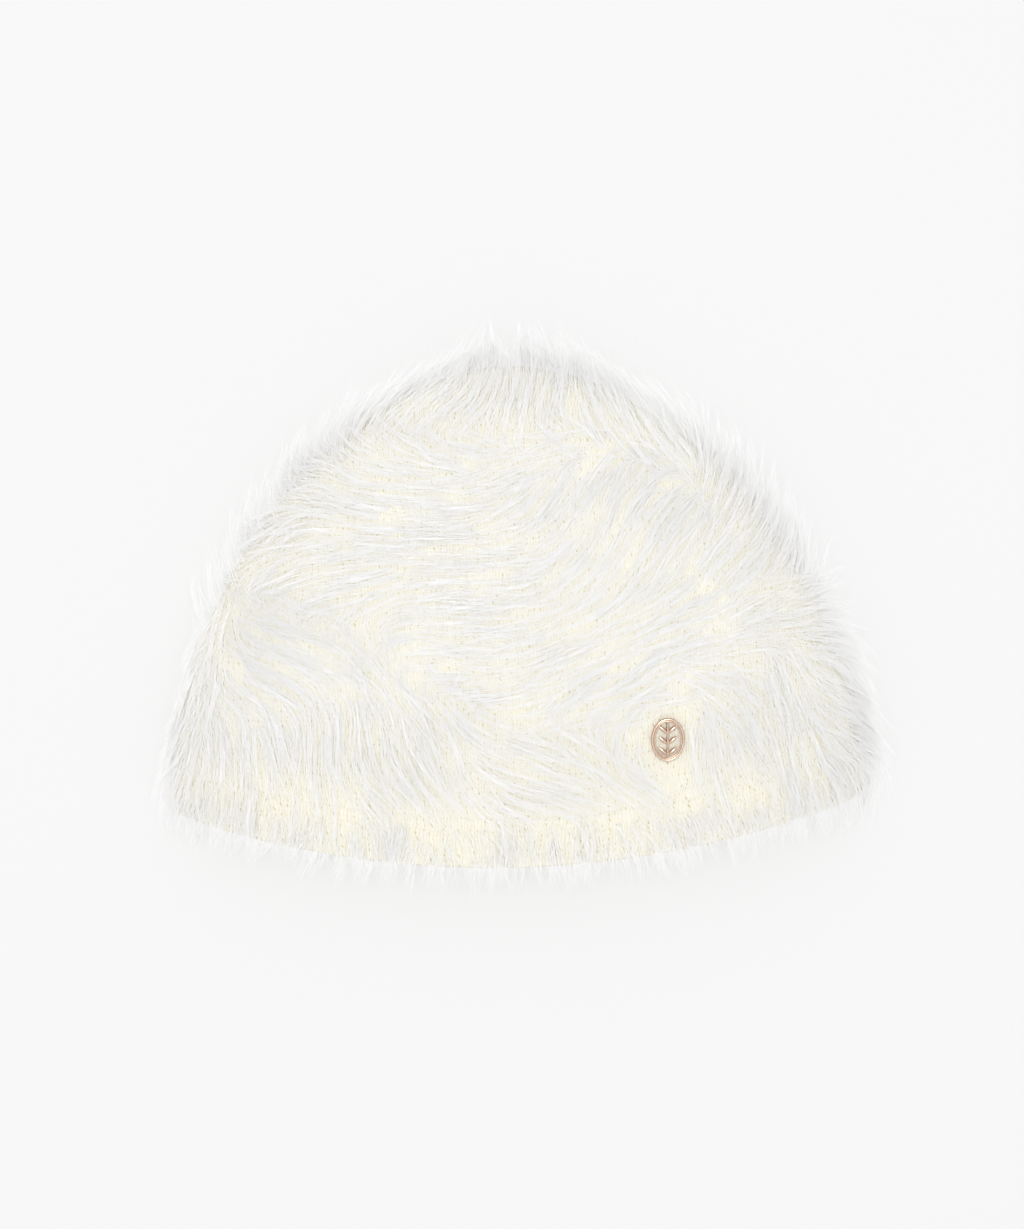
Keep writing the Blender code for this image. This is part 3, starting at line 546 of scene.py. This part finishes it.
def lock_lines(level, turn, length, lift, bend, reach, stray):
    """Middle lines of the locks, and the ways to their sides. From its root each walks over the
    cloth the way the pile is combed a little way off, turned by its own bend. It rises quickly
    to its lift and sinks again towards its tip. Where the cloth falls away at an edge it goes
    on by a share of its outward way, and droops by a share and by the square of how far it
    reaches. Past the hem it goes on at a share of its pace and falls."""
    step = length / WALK_STEPS
    strayed = pile_random.normal(0, stray, (len(level), 3))
    reached = np.zeros_like(level)
    hung = np.zeros_like(level)
    lines, sides = [], []
    for index in range(WALK_STEPS + 1):
        share = index / WALK_STEPS
        point, normal, along_turn, along_level = knit_frame(level, turn)
        rise = lift * (1 - np.exp(-RISE_SPEED * share)) * (1 - TIP_SINK * share**2)
        line = point + normal * (rise + reached)[:, None]
        line[:, 2] -= DROOP * reached + DROOP_GROWTH * reached**2 + hung
        line[:, 2] = np.maximum(line[:, 2], FLOOR_Z)
        way = combed_way(line + strayed)
        turned = bend * (BEND_SPAN * share - BEND_START)
        cosine, sine = np.cos(turned), np.sin(turned)
        east = way[:, 0] * cosine - way[:, 1] * sine
        north = way[:, 0] * sine + way[:, 1] * cosine
        way = np.stack([east, north, way[:, 2]], axis=1)
        if index % (WALK_STEPS // HAIR_STEPS) == 0:
            lines.append(line)
            side = np.cross(normal, way)
            side = side / np.maximum(np.linalg.norm(side, axis=1, keepdims=True), 1e-6)
            sides.append(side)
        outward = np.sum(way * normal, axis=1)
        reached = reached + np.maximum(outward, 0) * step * reach
        beyond = level > 2
        pace = np.where(beyond, HANG_PACE * step, step)
        hung = hung + np.where(beyond & (np.sin(turn) > 0), HANG_FALL * step, 0)
        tt = np.sum(along_turn**2, axis=1)
        ll = np.sum(along_level**2, axis=1)
        tl = np.sum(along_turn * along_level, axis=1)
        wt = np.sum(way * along_turn, axis=1) * pace
        wl = np.sum(way * along_level, axis=1) * pace
        ground = tt * ll - tl**2 + 1e-12
        turn_step = (wt * ll - wl * tl) / ground
        turn = turn + np.clip(turn_step, -LONGEST_TURN, LONGEST_TURN)
        level = level + (wl * tt - wt * tl) / ground
        level = np.clip(level, ROOT_LEVEL, LOOSEST_LEVEL)
    return np.stack(lines, axis=1), np.stack(sides, axis=1)


def hairs_of_locks(lines, sides, per_lock, width, closing, spread_height, wander):
    """Hair lines of every lock: each starts at its own place in the lock's root, keeps its
    share of the lock's width as the lock narrows to its tip, waves as a sine that grows along
    it, and strays from the lock by the square of the way along."""
    count = len(lines) * per_lock
    owner = np.repeat(np.arange(len(lines)), per_lock)
    line, side = lines[owner], sides[owner]
    share = np.linspace(0, 1, HAIR_STEPS + 1)[None, :]
    forward = np.gradient(line, axis=1)
    forward = forward / np.maximum(np.linalg.norm(forward, axis=2, keepdims=True), 1e-9)
    upward = np.cross(forward, side)
    off_side = (pile_random.random(count) * 2 - 1)[:, None] * width[owner][:, None]
    off_along = (pile_random.random(count) * 2 - 1)[:, None] * width[owner][:, None]
    off_up = np.abs(pile_random.normal(0, 1, count))[:, None] * spread_height
    narrowing = 1 - closing[owner][:, None] * share**LOCK_NARROWING
    turning = share * pile_random.uniform(*WAVE_ANGLES, count)[:, None]
    wave = np.sin(turning + pile_random.uniform(*WAVE_STARTS, count)[:, None])
    strayed = wave * HAIR_WAVE * share
    strayed = strayed + pile_random.normal(0, wander, count)[:, None] * share**2
    length_share = pile_random.uniform(*LENGTH_SHARES, count)[:, None]
    hair = line[:, :1] + (line - line[:, :1]) * length_share[..., None]
    hair = hair + side * (off_side * narrowing + strayed)[..., None]
    hair = hair + forward * (off_along * narrowing)[..., None]
    hair = hair + upward * (off_up * np.sqrt(share))[..., None]
    hair[..., 2] = np.maximum(hair[..., 2], FLOOR_Z)
    return hair


def clear_of_badge(hairs):
    """The hairs of which no part lies over the badge or the bare oval round it."""
    halves = np.concatenate([hairs, (hairs[:, 1:] + hairs[:, :-1]) / 2], axis=1)
    off = (halves[..., :2] - badge_middle[:2]) / BARE_OVAL
    return hairs[np.min(np.sum(off**2, axis=2), axis=1) > 1]


def hair_tubes(name, hairs, material, radius):
    """One mesh of tapering three-sided tubes, one along each hair line, with a flat side up.
    The radius falls with the square of the way along. The UV map holds a number of the hair's
    own across and the share of its length along."""
    count, rings = hairs.shape[0], hairs.shape[1] - 1
    radius = radius * pile_random.uniform(*THICKNESS_SHARES, count)
    forward = np.gradient(hairs, axis=1)
    forward = forward / np.maximum(np.linalg.norm(forward, axis=2, keepdims=True), 1e-9)
    flat = np.zeros(forward.shape[:2])
    level_side = np.stack([-forward[..., 1], forward[..., 0], flat], axis=2)
    level_side = level_side + np.array([1e-6, 0, 0])
    level_side = level_side / np.linalg.norm(level_side, axis=2, keepdims=True)
    up = np.cross(forward, level_side)
    share = np.arange(rings) / rings
    thick = (radius[:, None] * (1 - share[None, :] ** 2) + TIP_RADIUS)[..., None, None]
    angles = 2 * math.pi * np.arange(HAIR_SIDES) / HAIR_SIDES - math.pi / 2
    around = (
        level_side[:, :rings, None, :] * np.cos(angles)[None, None, :, None]
        + up[:, :rings, None, :] * np.sin(angles)[None, None, :, None]
    )
    tube = hairs[:, :rings, None, :] + around * thick
    tube[..., 2] = np.maximum(tube[..., 2], FLOOR_Z / 3)
    vertices = np.concatenate([tube.reshape(count, -1, 3), hairs[:, -1:, :]], axis=1)
    per_hair = rings * HAIR_SIDES + 1
    start = (np.arange(count) * per_hair)[:, None, None]
    ring = (np.arange(rings - 1) * HAIR_SIDES)[None, :, None]
    corner = np.arange(HAIR_SIDES)[None, None, :]
    following = (corner + 1) % HAIR_SIDES
    quads = np.stack(
        [
            start + ring + corner,
            start + ring + following,
            start + ring + HAIR_SIDES + following,
            start + ring + HAIR_SIDES + corner,
        ],
        axis=-1,
    ).reshape(-1, 4)
    last = start[:, 0] + (rings - 1) * HAIR_SIDES
    tip = np.broadcast_to(start[:, 0] + per_hair - 1, (count, HAIR_SIDES))
    tips = np.stack([last + corner[0], last + following[0], tip], axis=-1).reshape(-1, 3)
    roots = np.stack([start[:, 0, 0] + 2, start[:, 0, 0] + 1, start[:, 0, 0]], axis=-1)
    corners = np.concatenate([quads.ravel(), tips.ravel(), roots.ravel()])
    sizes = np.concatenate([np.full(len(quads), 4), np.full(len(tips) + len(roots), 3)])
    mesh = bpy.data.meshes.new(name)
    mesh.vertices.add(count * per_hair)
    mesh.vertices.foreach_set("co", vertices.ravel())
    mesh.loops.add(len(corners))
    mesh.loops.foreach_set("vertex_index", corners.astype(np.int32))
    mesh.polygons.add(len(sizes))
    starts = np.concatenate([[0], np.cumsum(sizes)[:-1]]).astype(np.int32)
    mesh.polygons.foreach_set("loop_start", starts)
    own = np.repeat(pile_random.random(count), per_hair)
    along = np.tile(np.append(np.repeat(share, HAIR_SIDES), 1.0), count)
    place = np.stack([own, along], axis=1)[corners]
    mesh.update(calc_edges=True)
    mesh.uv_layers.new(name="UVMap").data.foreach_set("uv", place.ravel())
    mesh.shade_flat()
    mesh.materials.append(material)
    return put_in_scene(name, mesh)


def pile_hair(name, root_colour, tip_colour):
    """Fine acrylic hair: creamier at its root than at its tip, each hair a little different."""
    material, tree, shader = node_material(name)
    uv = tree.nodes.new("ShaderNodeUVMap")
    uv.uv_map = "UVMap"
    parts = tree.nodes.new("ShaderNodeSeparateXYZ")
    tree.links.new(uv.outputs[0], parts.inputs[0])
    share = node_value(tree, "POWER", parts.outputs[1], ROOT_SHORTNESS)
    colour = blend_colours(tree, share, root_colour, tip_colour)
    shade = node_value(tree, "MULTIPLY_ADD", parts.outputs[0], SHADE_SPREAD, 1 - SHADE_SPREAD)
    tint = tree.nodes.new("ShaderNodeMix")
    tint.data_type = "RGBA"
    tint.blend_type = "MULTIPLY"
    tint.inputs[0].default_value = 1.0
    grey = tree.nodes.new("ShaderNodeCombineColor")
    for socket in grey.inputs:
        tree.links.new(shade, socket)
    tree.links.new(colour, tint.inputs[6])
    tree.links.new(grey.outputs[0], tint.inputs[7])
    tree.links.new(tint.outputs[2], shader.inputs["Base Color"])
    shader.inputs["Roughness"].default_value = HAIR_ROUGHNESS
    return material


badge_low, badge_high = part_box("badge")
badge_middle = (np.array(badge_low) + np.array(badge_high)) / 2
BARE_OVAL = np.array((0.0074, 0.0094))
PATCH = 0.0045
PLAN_SIDE = 120
PLAN = PLAN_SIDE**2
ROUNDS = 50
UNEVEN = 0.5
THINNEST = 0.7
UNDERSIDE = -0.5
UNDER_PILE = 0.42
UNDER_COVER = 0.5
PRESSED_LIFTS = (0.0003, 0.0016)
EDGE_TIP = 0.012
EDGE_MIDDLE = 0.25
EDGE_SPREAD = 0.35
EDGE_UNDER = 0.1
HEM_UNDER = 0.25
PARTED = np.array(
    (
        # x, y and radius in mm, share of the locks missing
        (52.5, -44, 11, 1.0), (-96, 14, 14, 0.6), (-97, -18, 12, 0.45), (-105, -57, 12, 0.5),
        (-90, -61, 10, 0.5), (-3, 66, 12, 0.5), (-48, 61, 8, 0.4), (-1, -33, 9, 0.5),
        (-14, -62, 10, 0.7), (6, -60, 9, 0.5), (-35, -14, 8, 0.5), (74, -20, 10, 0.5),
        (103, -23, 10, 0.5), (62, -64, 10, 0.6), (76, -62, 8, 0.5), (90, 5, 8, 0.5),
        (102, -58, 8, 0.5), (28, -63, 8, 0.4), (-82, -69, 12, 0.6), (-59, -74, 12, 0.6),
        (-35, -78, 12, 0.6), (-11, -80, 12, 0.5), (13, -81, 12, 0.5), (38, -79, 12, 0.6),
        (63, -76, 10, 0.6), (86, -71, 10, 0.5),
    )
)


def pile_density(point, turn):
    """Share of the full number of hairs: fewer on the pressed underside."""
    return np.where(np.sin(turn) < UNDERSIDE, UNDER_PILE, 1.0) * np.ones(point.shape[:2])


def edge_density(point, turn):
    """Bell curves about a line a little above the fold and about the crown's tip, nearly all
    of both on the front."""
    tip = np.exp(-(((TIP_Y - point[..., 1]) / EDGE_TIP) ** 2))
    fold = np.exp(-(((np.sin(turn) - EDGE_MIDDLE) / EDGE_SPREAD) ** 2))
    return (fold + tip) * np.where(np.sin(turn) > 0, 1, EDGE_UNDER)


def hem_density(point, turn):
    """Most of the hem's hairs lie on the front."""
    return np.where(np.sin(turn) > 0, 1.0, HEM_UNDER) * np.ones(point.shape[:2])


def evenly_laid(lines, turn, count):
    """Numbers of the locks to keep, so that the pile lies equally thick where it runs together
    and where it spreads. They are taken in rounds, each time those whose squares of the plan,
    on their own face of the hat, hold the least pile so far for what is wanted there. A square
    that no lock is rooted in counts as an average one. Less is wanted where the photographed
    pile parts, by bell curves round the charted places, and on the pressed underside."""
    square = np.floor(lines[..., :2] / PATCH).astype(int) + PLAN_SIDE // 2
    square = square[..., 0] * PLAN_SIDE + square[..., 1] + PLAN * (np.sin(turn) < 0)[:, None]
    off = np.sum((lines[:, :, None, :2] * MM_PER_M - PARTED[:, :2]) ** 2, axis=3)
    bare = np.max(PARTED[:, 3] * np.exp(-off / PARTED[:, 2] ** 2), axis=2).mean(axis=1)
    wanted = (1 - THINNEST * bare) * np.where(np.sin(turn) < UNDERSIDE, UNDER_COVER, 1)
    rooted = np.bincount(square[:, 0], minlength=2 * PLAN) > 0
    cover = np.zeros(2 * PLAN)
    spent = np.zeros(len(lines))
    for _ in range(ROUNDS):
        usual = cover[rooted].mean()
        load = np.where(rooted, cover, usual)[square].mean(axis=1)
        load = load + pile_random.random(len(lines)) * (UNEVEN * usual + 0.1)
        taken = np.argsort(load / wanted + spent)[: count // ROUNDS]
        spent[taken] = 1e9
        cover = cover + np.bincount(square[taken].ravel(), minlength=2 * PLAN)
    return np.flatnonzero(spent)


def pile_lifts(turn, low, high):
    """Heights that locks rise to: free on top, pressed nearly flat on the underside."""
    free = pile_random.uniform(low, high, len(turn))
    pressed = pile_random.uniform(*PRESSED_LIFTS, len(turn))
    return np.where(np.sin(turn) > UNDERSIDE, free, pressed)


def walked_locks(count, levels, density, lengths, bend, lifts, reaches, stray):
    """Lines, sides and turns of locks rooted between two levels, with lengths and lifts drawn
    evenly between two values and bends by a bell curve. Of its outward way past an edge a lock
    keeps one share on the front and another on the underside, which the table holds back."""
    level, turn = scattered_roots(count, *levels, density)
    length = pile_random.uniform(*lengths, count)
    bends = pile_random.normal(0, bend, count)
    lift = pile_lifts(turn, *lifts)
    reach = np.where(np.sin(turn) > 0, *reaches)
    return *lock_lines(level, turn, length, lift, bends, reach, stray), turn


white_pile = pile_hair("white pile", ROOT_WHITE, WHITE)
DOME = (ROOT_LEVEL, 1.0)
DOME_AND_BAND = (ROOT_LEVEL, 1.9)
HELD_BACK = (0.52, 0.15)
SINGLE_WIDTH = 0.001
LOCKS = 1500
LOCK_HAIRS = 9
middle, side, turn = walked_locks(
    6 * LOCKS, DOME, pile_density,
    lengths=(0.020, 0.034), bend=0.22, lifts=(0.0004, 0.0024), reaches=HELD_BACK, stray=0.0035,
)
kept = evenly_laid(middle, turn, LOCKS)
widths = pile_random.uniform(0.0010, 0.0026, LOCKS)
closing = pile_random.uniform(0.55, 0.95, LOCKS)
locks = hairs_of_locks(
    middle[kept], side[kept], LOCK_HAIRS, widths, closing, spread_height=0.0004, wander=0.0006
)
locks = clear_of_badge(locks)

LOOSE = 8000
middle, side, turn = walked_locks(
    5 * LOOSE, DOME, pile_density,
    lengths=(0.012, 0.032), bend=0.40, lifts=(0.0003, 0.0030), reaches=HELD_BACK, stray=0.0045,
)
kept = evenly_laid(middle, turn, LOOSE)
widths = np.full(LOOSE, SINGLE_WIDTH)
loose = hairs_of_locks(
    middle[kept], side[kept], 1, widths, widths * 0, spread_height=0.0004, wander=0.0022
)
loose = clear_of_badge(loose)

HEM_LOCKS = 640
HEM_HAIRS = 5
middle, side, _ = walked_locks(
    HEM_LOCKS, (1.15, 1.97), hem_density,
    lengths=(0.007, 0.015), bend=0.45, lifts=(0.0008, 0.0030), reaches=(0.45, 0.45), stray=0.0035,
)
widths = pile_random.uniform(0.0012, 0.0034, HEM_LOCKS)
closing = pile_random.uniform(0.0, 0.7, HEM_LOCKS)
hem_hairs = hairs_of_locks(
    middle, side, HEM_HAIRS, widths, closing, spread_height=0.0004, wander=0.0012
)

EDGE_HAIRS = 3800
middle, side, _ = walked_locks(
    EDGE_HAIRS, DOME_AND_BAND, edge_density,
    lengths=(0.009, 0.018), bend=0.45, lifts=(0.0006, 0.0040), reaches=HELD_BACK, stray=0.0030,
)
widths = np.full(EDGE_HAIRS, SINGLE_WIDTH)
edge_hairs = hairs_of_locks(
    middle, side, 1, widths, widths * 0, spread_height=0.0006, wander=0.0018
)

FUZZ = 5500
middle, side, _ = walked_locks(
    FUZZ, DOME_AND_BAND, pile_density,
    lengths=(0.004, 0.008), bend=1.1, lifts=(0.0003, 0.0012), reaches=(0.5, 0.5), stray=0.006,
)
widths = np.full(FUZZ, SINGLE_WIDTH)
fuzz = hairs_of_locks(
    middle, side, 1, widths, widths * 0, spread_height=0.0002, wander=0.0010
)
fuzz = clear_of_badge(fuzz)[:, [0, 2, 5]]

THIRD_X = 0.045
ZONES = (
    # name, hairs, radius at the root
    ("pile_locks_left", locks[locks[:, 0, 0] < -THIRD_X], 0.000060),
    ("pile_locks_middle", locks[np.abs(locks[:, 0, 0]) <= THIRD_X], 0.000060),
    ("pile_locks_right", locks[locks[:, 0, 0] > THIRD_X], 0.000060),
    ("pile_loose_left", loose[loose[:, 0, 0] < 0], 0.000045),
    ("pile_loose_right", loose[loose[:, 0, 0] >= 0], 0.000045),
    ("pile_hem", hem_hairs, 0.000055),
    ("pile_edge", edge_hairs, 0.000040),
    ("pile_fuzz", fuzz, 0.000045),
)
for name, hairs, radius in ZONES:
    zone = hair_tubes(name, hairs, white_pile, radius)
    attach(zone, "root")
    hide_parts("fur")

# Badge: a small oval ring with an open sprig of paired leaves, cast and plated in rose gold.
# Two prongs behind it go through the knit and are clinched inside.
# The first colour is also painted on the top of every wire as a highlight, and the second on the
# wires' flanks as shade.
ROSE_GOLD = (1.0, 0.82, 0.66)
ROSE_PAINTED_SHADE = (0.45, 0.18, 0.07)
CLINCH = (0.62, 0.58, 0.52)
ROSE_ROUGHNESS = 0.28
CLINCH_ROUGHNESS = 0.4
WEAR = 0.2
WEAR_SCALE = 900
WEAR_DEPTH = 0.00002
BADGE_SPOT = np.array((0.0525, -0.0444))
BADGE_WIDTH, BADGE_HEIGHT = 0.0118, 0.0157
BADGE_PLATE = 0.0010
BADGE_SEAT = 0.0004
RIM_RADIUS = 0.00048
INNER_RADIUS = 0.00026
STEM_RADIUS = 0.00038
LEAF_LENGTH, LEAF_WIDTH = 0.0044, 0.0013
LEAF_PAIRS = 3
LEAF_ANGLE = math.radians(48)
LEAF_BLUNTNESS = 0.8
LOWEST_LEAF = 0.55
INNER_GAP = 0.7
WIRE_SIDES = 16
OVAL_STEPS = 96
STEM_STEPS = 24
LEAF_STEPS = 20
PAINTED_HIGHLIGHT_POWER = 5
SPOT_STEPS = 12
badge_level, badge_turn = 0.8, 1.1
for _ in range(SPOT_STEPS):
    spot, facing, along_turn, along_level = knit_frame(badge_level, badge_turn)
    slopes = np.stack([along_level[:2], along_turn[:2]], axis=1)
    nearer = np.linalg.solve(slopes, BADGE_SPOT - spot[:2])
    badge_level, badge_turn = np.array((badge_level, badge_turn)) + nearer
badge_across = np.cross((0, 1, 0), facing)
badge_across = badge_across / np.linalg.norm(badge_across)
badge_axes = np.stack([badge_across, np.cross(facing, badge_across), facing])


def plated_metal(name, colour, roughness, painted_shade=None):
    """Polished plating with faint waviness and wear. A second colour, where there is one, is painted
    shade on the flanks of the wires. The plating's own colour is painted highlight on their tops,
    blended after a share that the mesh holds at each point."""
    material, tree, shader = node_material(name)
    shader.inputs["Base Color"].default_value = (*colour, 1)
    shader.inputs["Metallic"].default_value = 1.0
    if painted_shade:
        # Painted highlight on the wire tops and painted shade on their flanks, blended after the
        # mesh's share.
        painted_highlight = tree.nodes.new("ShaderNodeAttribute")
        painted_highlight.attribute_name = "painted_highlight"
        plating = blend_colours(tree, painted_highlight.outputs["Fac"], painted_shade, colour)
        tree.links.new(plating, shader.inputs["Base Color"])
    place = tree.nodes.new("ShaderNodeTexCoord")
    waves = tree.nodes.new("ShaderNodeTexNoise")
    waves.inputs["Scale"].default_value = WEAR_SCALE
    tree.links.new(place.outputs["Object"], waves.inputs["Vector"])
    worn = node_value(tree, "MULTIPLY_ADD", waves.outputs[0], WEAR, roughness - WEAR / 2)
    tree.links.new(worn, shader.inputs["Roughness"])
    bump = tree.nodes.new("ShaderNodeBump")
    bump.inputs["Distance"].default_value = WEAR_DEPTH
    tree.links.new(waves.outputs[0], bump.inputs["Height"])
    tree.links.new(bump.outputs[0], shader.inputs["Normal"])
    return material


def cast_wire(path, half_width, half_height, closed):
    """Vertices, four-sided faces and end faces of a round bar along a path in the badge's
    plane, as wide and as high at each of its points as the two arrays say. It closes on itself
    or has flat ends."""
    if closed:
        forward = np.roll(path, -1, axis=0) - np.roll(path, 1, axis=0)
    else:
        forward = np.gradient(path, axis=0)
    sideways = np.stack([forward[:, 1], -forward[:, 0], np.zeros(len(path))], axis=1)
    sideways = sideways / np.linalg.norm(sideways, axis=1, keepdims=True)
    angles = 2 * math.pi * np.arange(WIRE_SIDES) / WIRE_SIDES
    out = (half_width[:, None] * np.cos(angles))[..., None]
    rings = path[:, None, :] + sideways[:, None, :] * out
    rings[..., 2] += half_height[:, None] * np.sin(angles)
    row = np.arange(len(path) if closed else len(path) - 1)[:, None] * WIRE_SIDES
    after = (row + WIRE_SIDES) % (len(path) * WIRE_SIDES)
    here = np.arange(WIRE_SIDES)[None, :]
    there = (here + 1) % WIRE_SIDES
    corners = [row + there, after + there, after + here, row + here]
    quads = np.stack(corners, axis=-1).reshape(-1, 4)
    ends = np.stack([here[0], len(path) * WIRE_SIDES - 1 - here[0]])
    return rings.reshape(-1, 3), quads, ends[:0] if closed else ends


def oval_wire(inset, height, radius):
    """Round bar bent into the badge's oval, a distance inside its outline."""
    angle = np.linspace(0, 2 * math.pi, OVAL_STEPS, endpoint=False)
    x = (BADGE_WIDTH / 2 - inset) * np.cos(angle)
    y = (BADGE_HEIGHT / 2 - inset) * np.sin(angle)
    path = np.stack([x, y, np.full(OVAL_STEPS, height)], axis=1)
    thickness = np.full(OVAL_STEPS, radius)
    return cast_wire(path, thickness, thickness, True)


badge_plane = BADGE_SEAT + BADGE_PLATE / 2
castings = [
    oval_wire(RIM_RADIUS, BADGE_SEAT + BADGE_PLATE, RIM_RADIUS),
    oval_wire(2 * RIM_RADIUS + INNER_GAP * INNER_RADIUS, BADGE_SEAT + BADGE_PLATE, INNER_RADIUS),
]
stem_end = BADGE_HEIGHT / 2 - RIM_RADIUS
stem_run = np.linspace(-stem_end, stem_end, STEM_STEPS)
stem = np.stack([stem_run * 0, stem_run, np.full(STEM_STEPS, badge_plane)], axis=1)
stem_width = np.full(STEM_STEPS, STEM_RADIUS)
castings.append(cast_wire(stem, stem_width, np.full(STEM_STEPS, BADGE_PLATE / 2), False))
leaf_share = np.linspace(0.02, 0.98, LEAF_STEPS)
leaf_half = LEAF_WIDTH / 2 * np.sin(leaf_share * math.pi) ** LEAF_BLUNTNESS
for pair in range(LEAF_PAIRS):
    foot = BADGE_HEIGHT * ((pair + LOWEST_LEAF) / (LEAF_PAIRS + 1) - 0.5)
    for side in (-1, 1):
        out = leaf_share * LEAF_LENGTH
        x, y = side * np.sin(LEAF_ANGLE) * out, foot + np.cos(LEAF_ANGLE) * out
        leaf = np.stack([x, y, np.full(LEAF_STEPS, badge_plane)], axis=1)
        castings.append(cast_wire(leaf, leaf_half, leaf_half, False))
badge_vertices, badge_faces = [], []
for vertices, quads, ends in castings:
    first = sum(len(group) for group in badge_vertices)
    badge_vertices.append(vertices)
    badge_faces += (first + quads).tolist() + (first + ends).tolist()
badge_mesh = bpy.data.meshes.new("badge_casting")
badge_points = np.concatenate(badge_vertices) @ badge_axes + spot
badge_mesh.from_pydata(badge_points.tolist(), [], badge_faces)
badge_mesh.shade_smooth()
# Painted highlight and painted shade: a share that is 1 at the top of each wire's round section and
# falls to nearly 0 on its flanks and underside. It sets the blend of the two rose gold tones.
painted_highlight = ((1 + np.sin(2 * math.pi * np.arange(WIRE_SIDES) / WIRE_SIDES)) / 2) ** PAINTED_HIGHLIGHT_POWER
painted_highlight = np.tile(painted_highlight, len(badge_mesh.vertices) // WIRE_SIDES)
badge_mesh.attributes.new("painted_highlight", "FLOAT", "POINT").data.foreach_set("value", painted_highlight)
rose_gold = plated_metal("rose gold", ROSE_GOLD, ROSE_ROUGHNESS, ROSE_PAINTED_SHADE)
badge_mesh.materials.append(rose_gold)
casting = put_in_scene("badge_casting", badge_mesh)
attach(casting, "root")
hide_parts("badge")
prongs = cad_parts["badge_prongs"]
prongs.material_slots[0].material = plated_metal("clinch metal", CLINCH, CLINCH_ROUGHNESS)

# Studio: a pale seamless table, one wide soft light overhead and an even surround.
# The camera looks straight down, turned a little as the hat lies in the photograph.
TABLE_HALF = 3.0
TABLE_GREY = 0.33
TABLE_GLOW = 0.55
TABLE_ROUGHNESS = 0.9
KEY_WIDTH, KEY_DEPTH = 0.8, 0.6
KEY_ENERGY = 9.2
KEY_PLACE = (-0.03, 0.10, 1.5)
KEY_TILT = (math.radians(-3.8), math.radians(-1.1), 0)
SURROUND_STRENGTH = 0.775
PHOTO_HEIGHT_PX = 1229
METRES_PER_PX = 0.000355
LENS = 85.0
SENSOR = 36.0
FOCUS_Z = 0.015
floor_mesh = bpy.data.meshes.new("table")
floor_corners = TABLE_HALF * np.array([(-1, -1, 0), (1, -1, 0), (1, 1, 0), (-1, 1, 0)])
floor_mesh.from_pydata(floor_corners.tolist(), [], [(0, 1, 2, 3)])
table_finish, _, table_shader = node_material("table finish")
table_shader.inputs["Base Color"].default_value = (TABLE_GREY, TABLE_GREY, TABLE_GREY, 1)
table_shader.inputs["Emission Color"].default_value = (1, 1, 1, 1)
table_shader.inputs["Emission Strength"].default_value = TABLE_GLOW
table_shader.inputs["Roughness"].default_value = TABLE_ROUGHNESS
floor_mesh.materials.append(table_finish)
table = put_in_scene("table", floor_mesh)

key = bpy.data.lights.new("soft box", "AREA")
key.shape = "RECTANGLE"
key.size, key.size_y = KEY_WIDTH, KEY_DEPTH
key.energy = KEY_ENERGY
key_object = put_in_scene("soft box", key)
key_object.location = KEY_PLACE
key_object.rotation_euler = KEY_TILT
surround = bpy.data.worlds.new("surround")
surround.use_nodes = True
background = surround.node_tree.nodes["Background"]
background.inputs[0].default_value = (1, 1, 1, 1)
background.inputs[1].default_value = SURROUND_STRENGTH
bpy.context.scene.world = surround
bpy.context.scene.view_settings.view_transform = "Standard"

camera_data = bpy.data.cameras.new("camera")
camera_data.lens = LENS
camera_data.sensor_width = SENSOR
camera = put_in_scene("camera", camera_data)
camera_away = PHOTO_HEIGHT_PX * METRES_PER_PX * LENS / SENSOR
camera.location = (-0.0005, 0.0005, FOCUS_Z + camera_away)
camera.rotation_euler = (0, 0, -math.radians(PHOTO_TURN))
bpy.context.scene.camera = camera
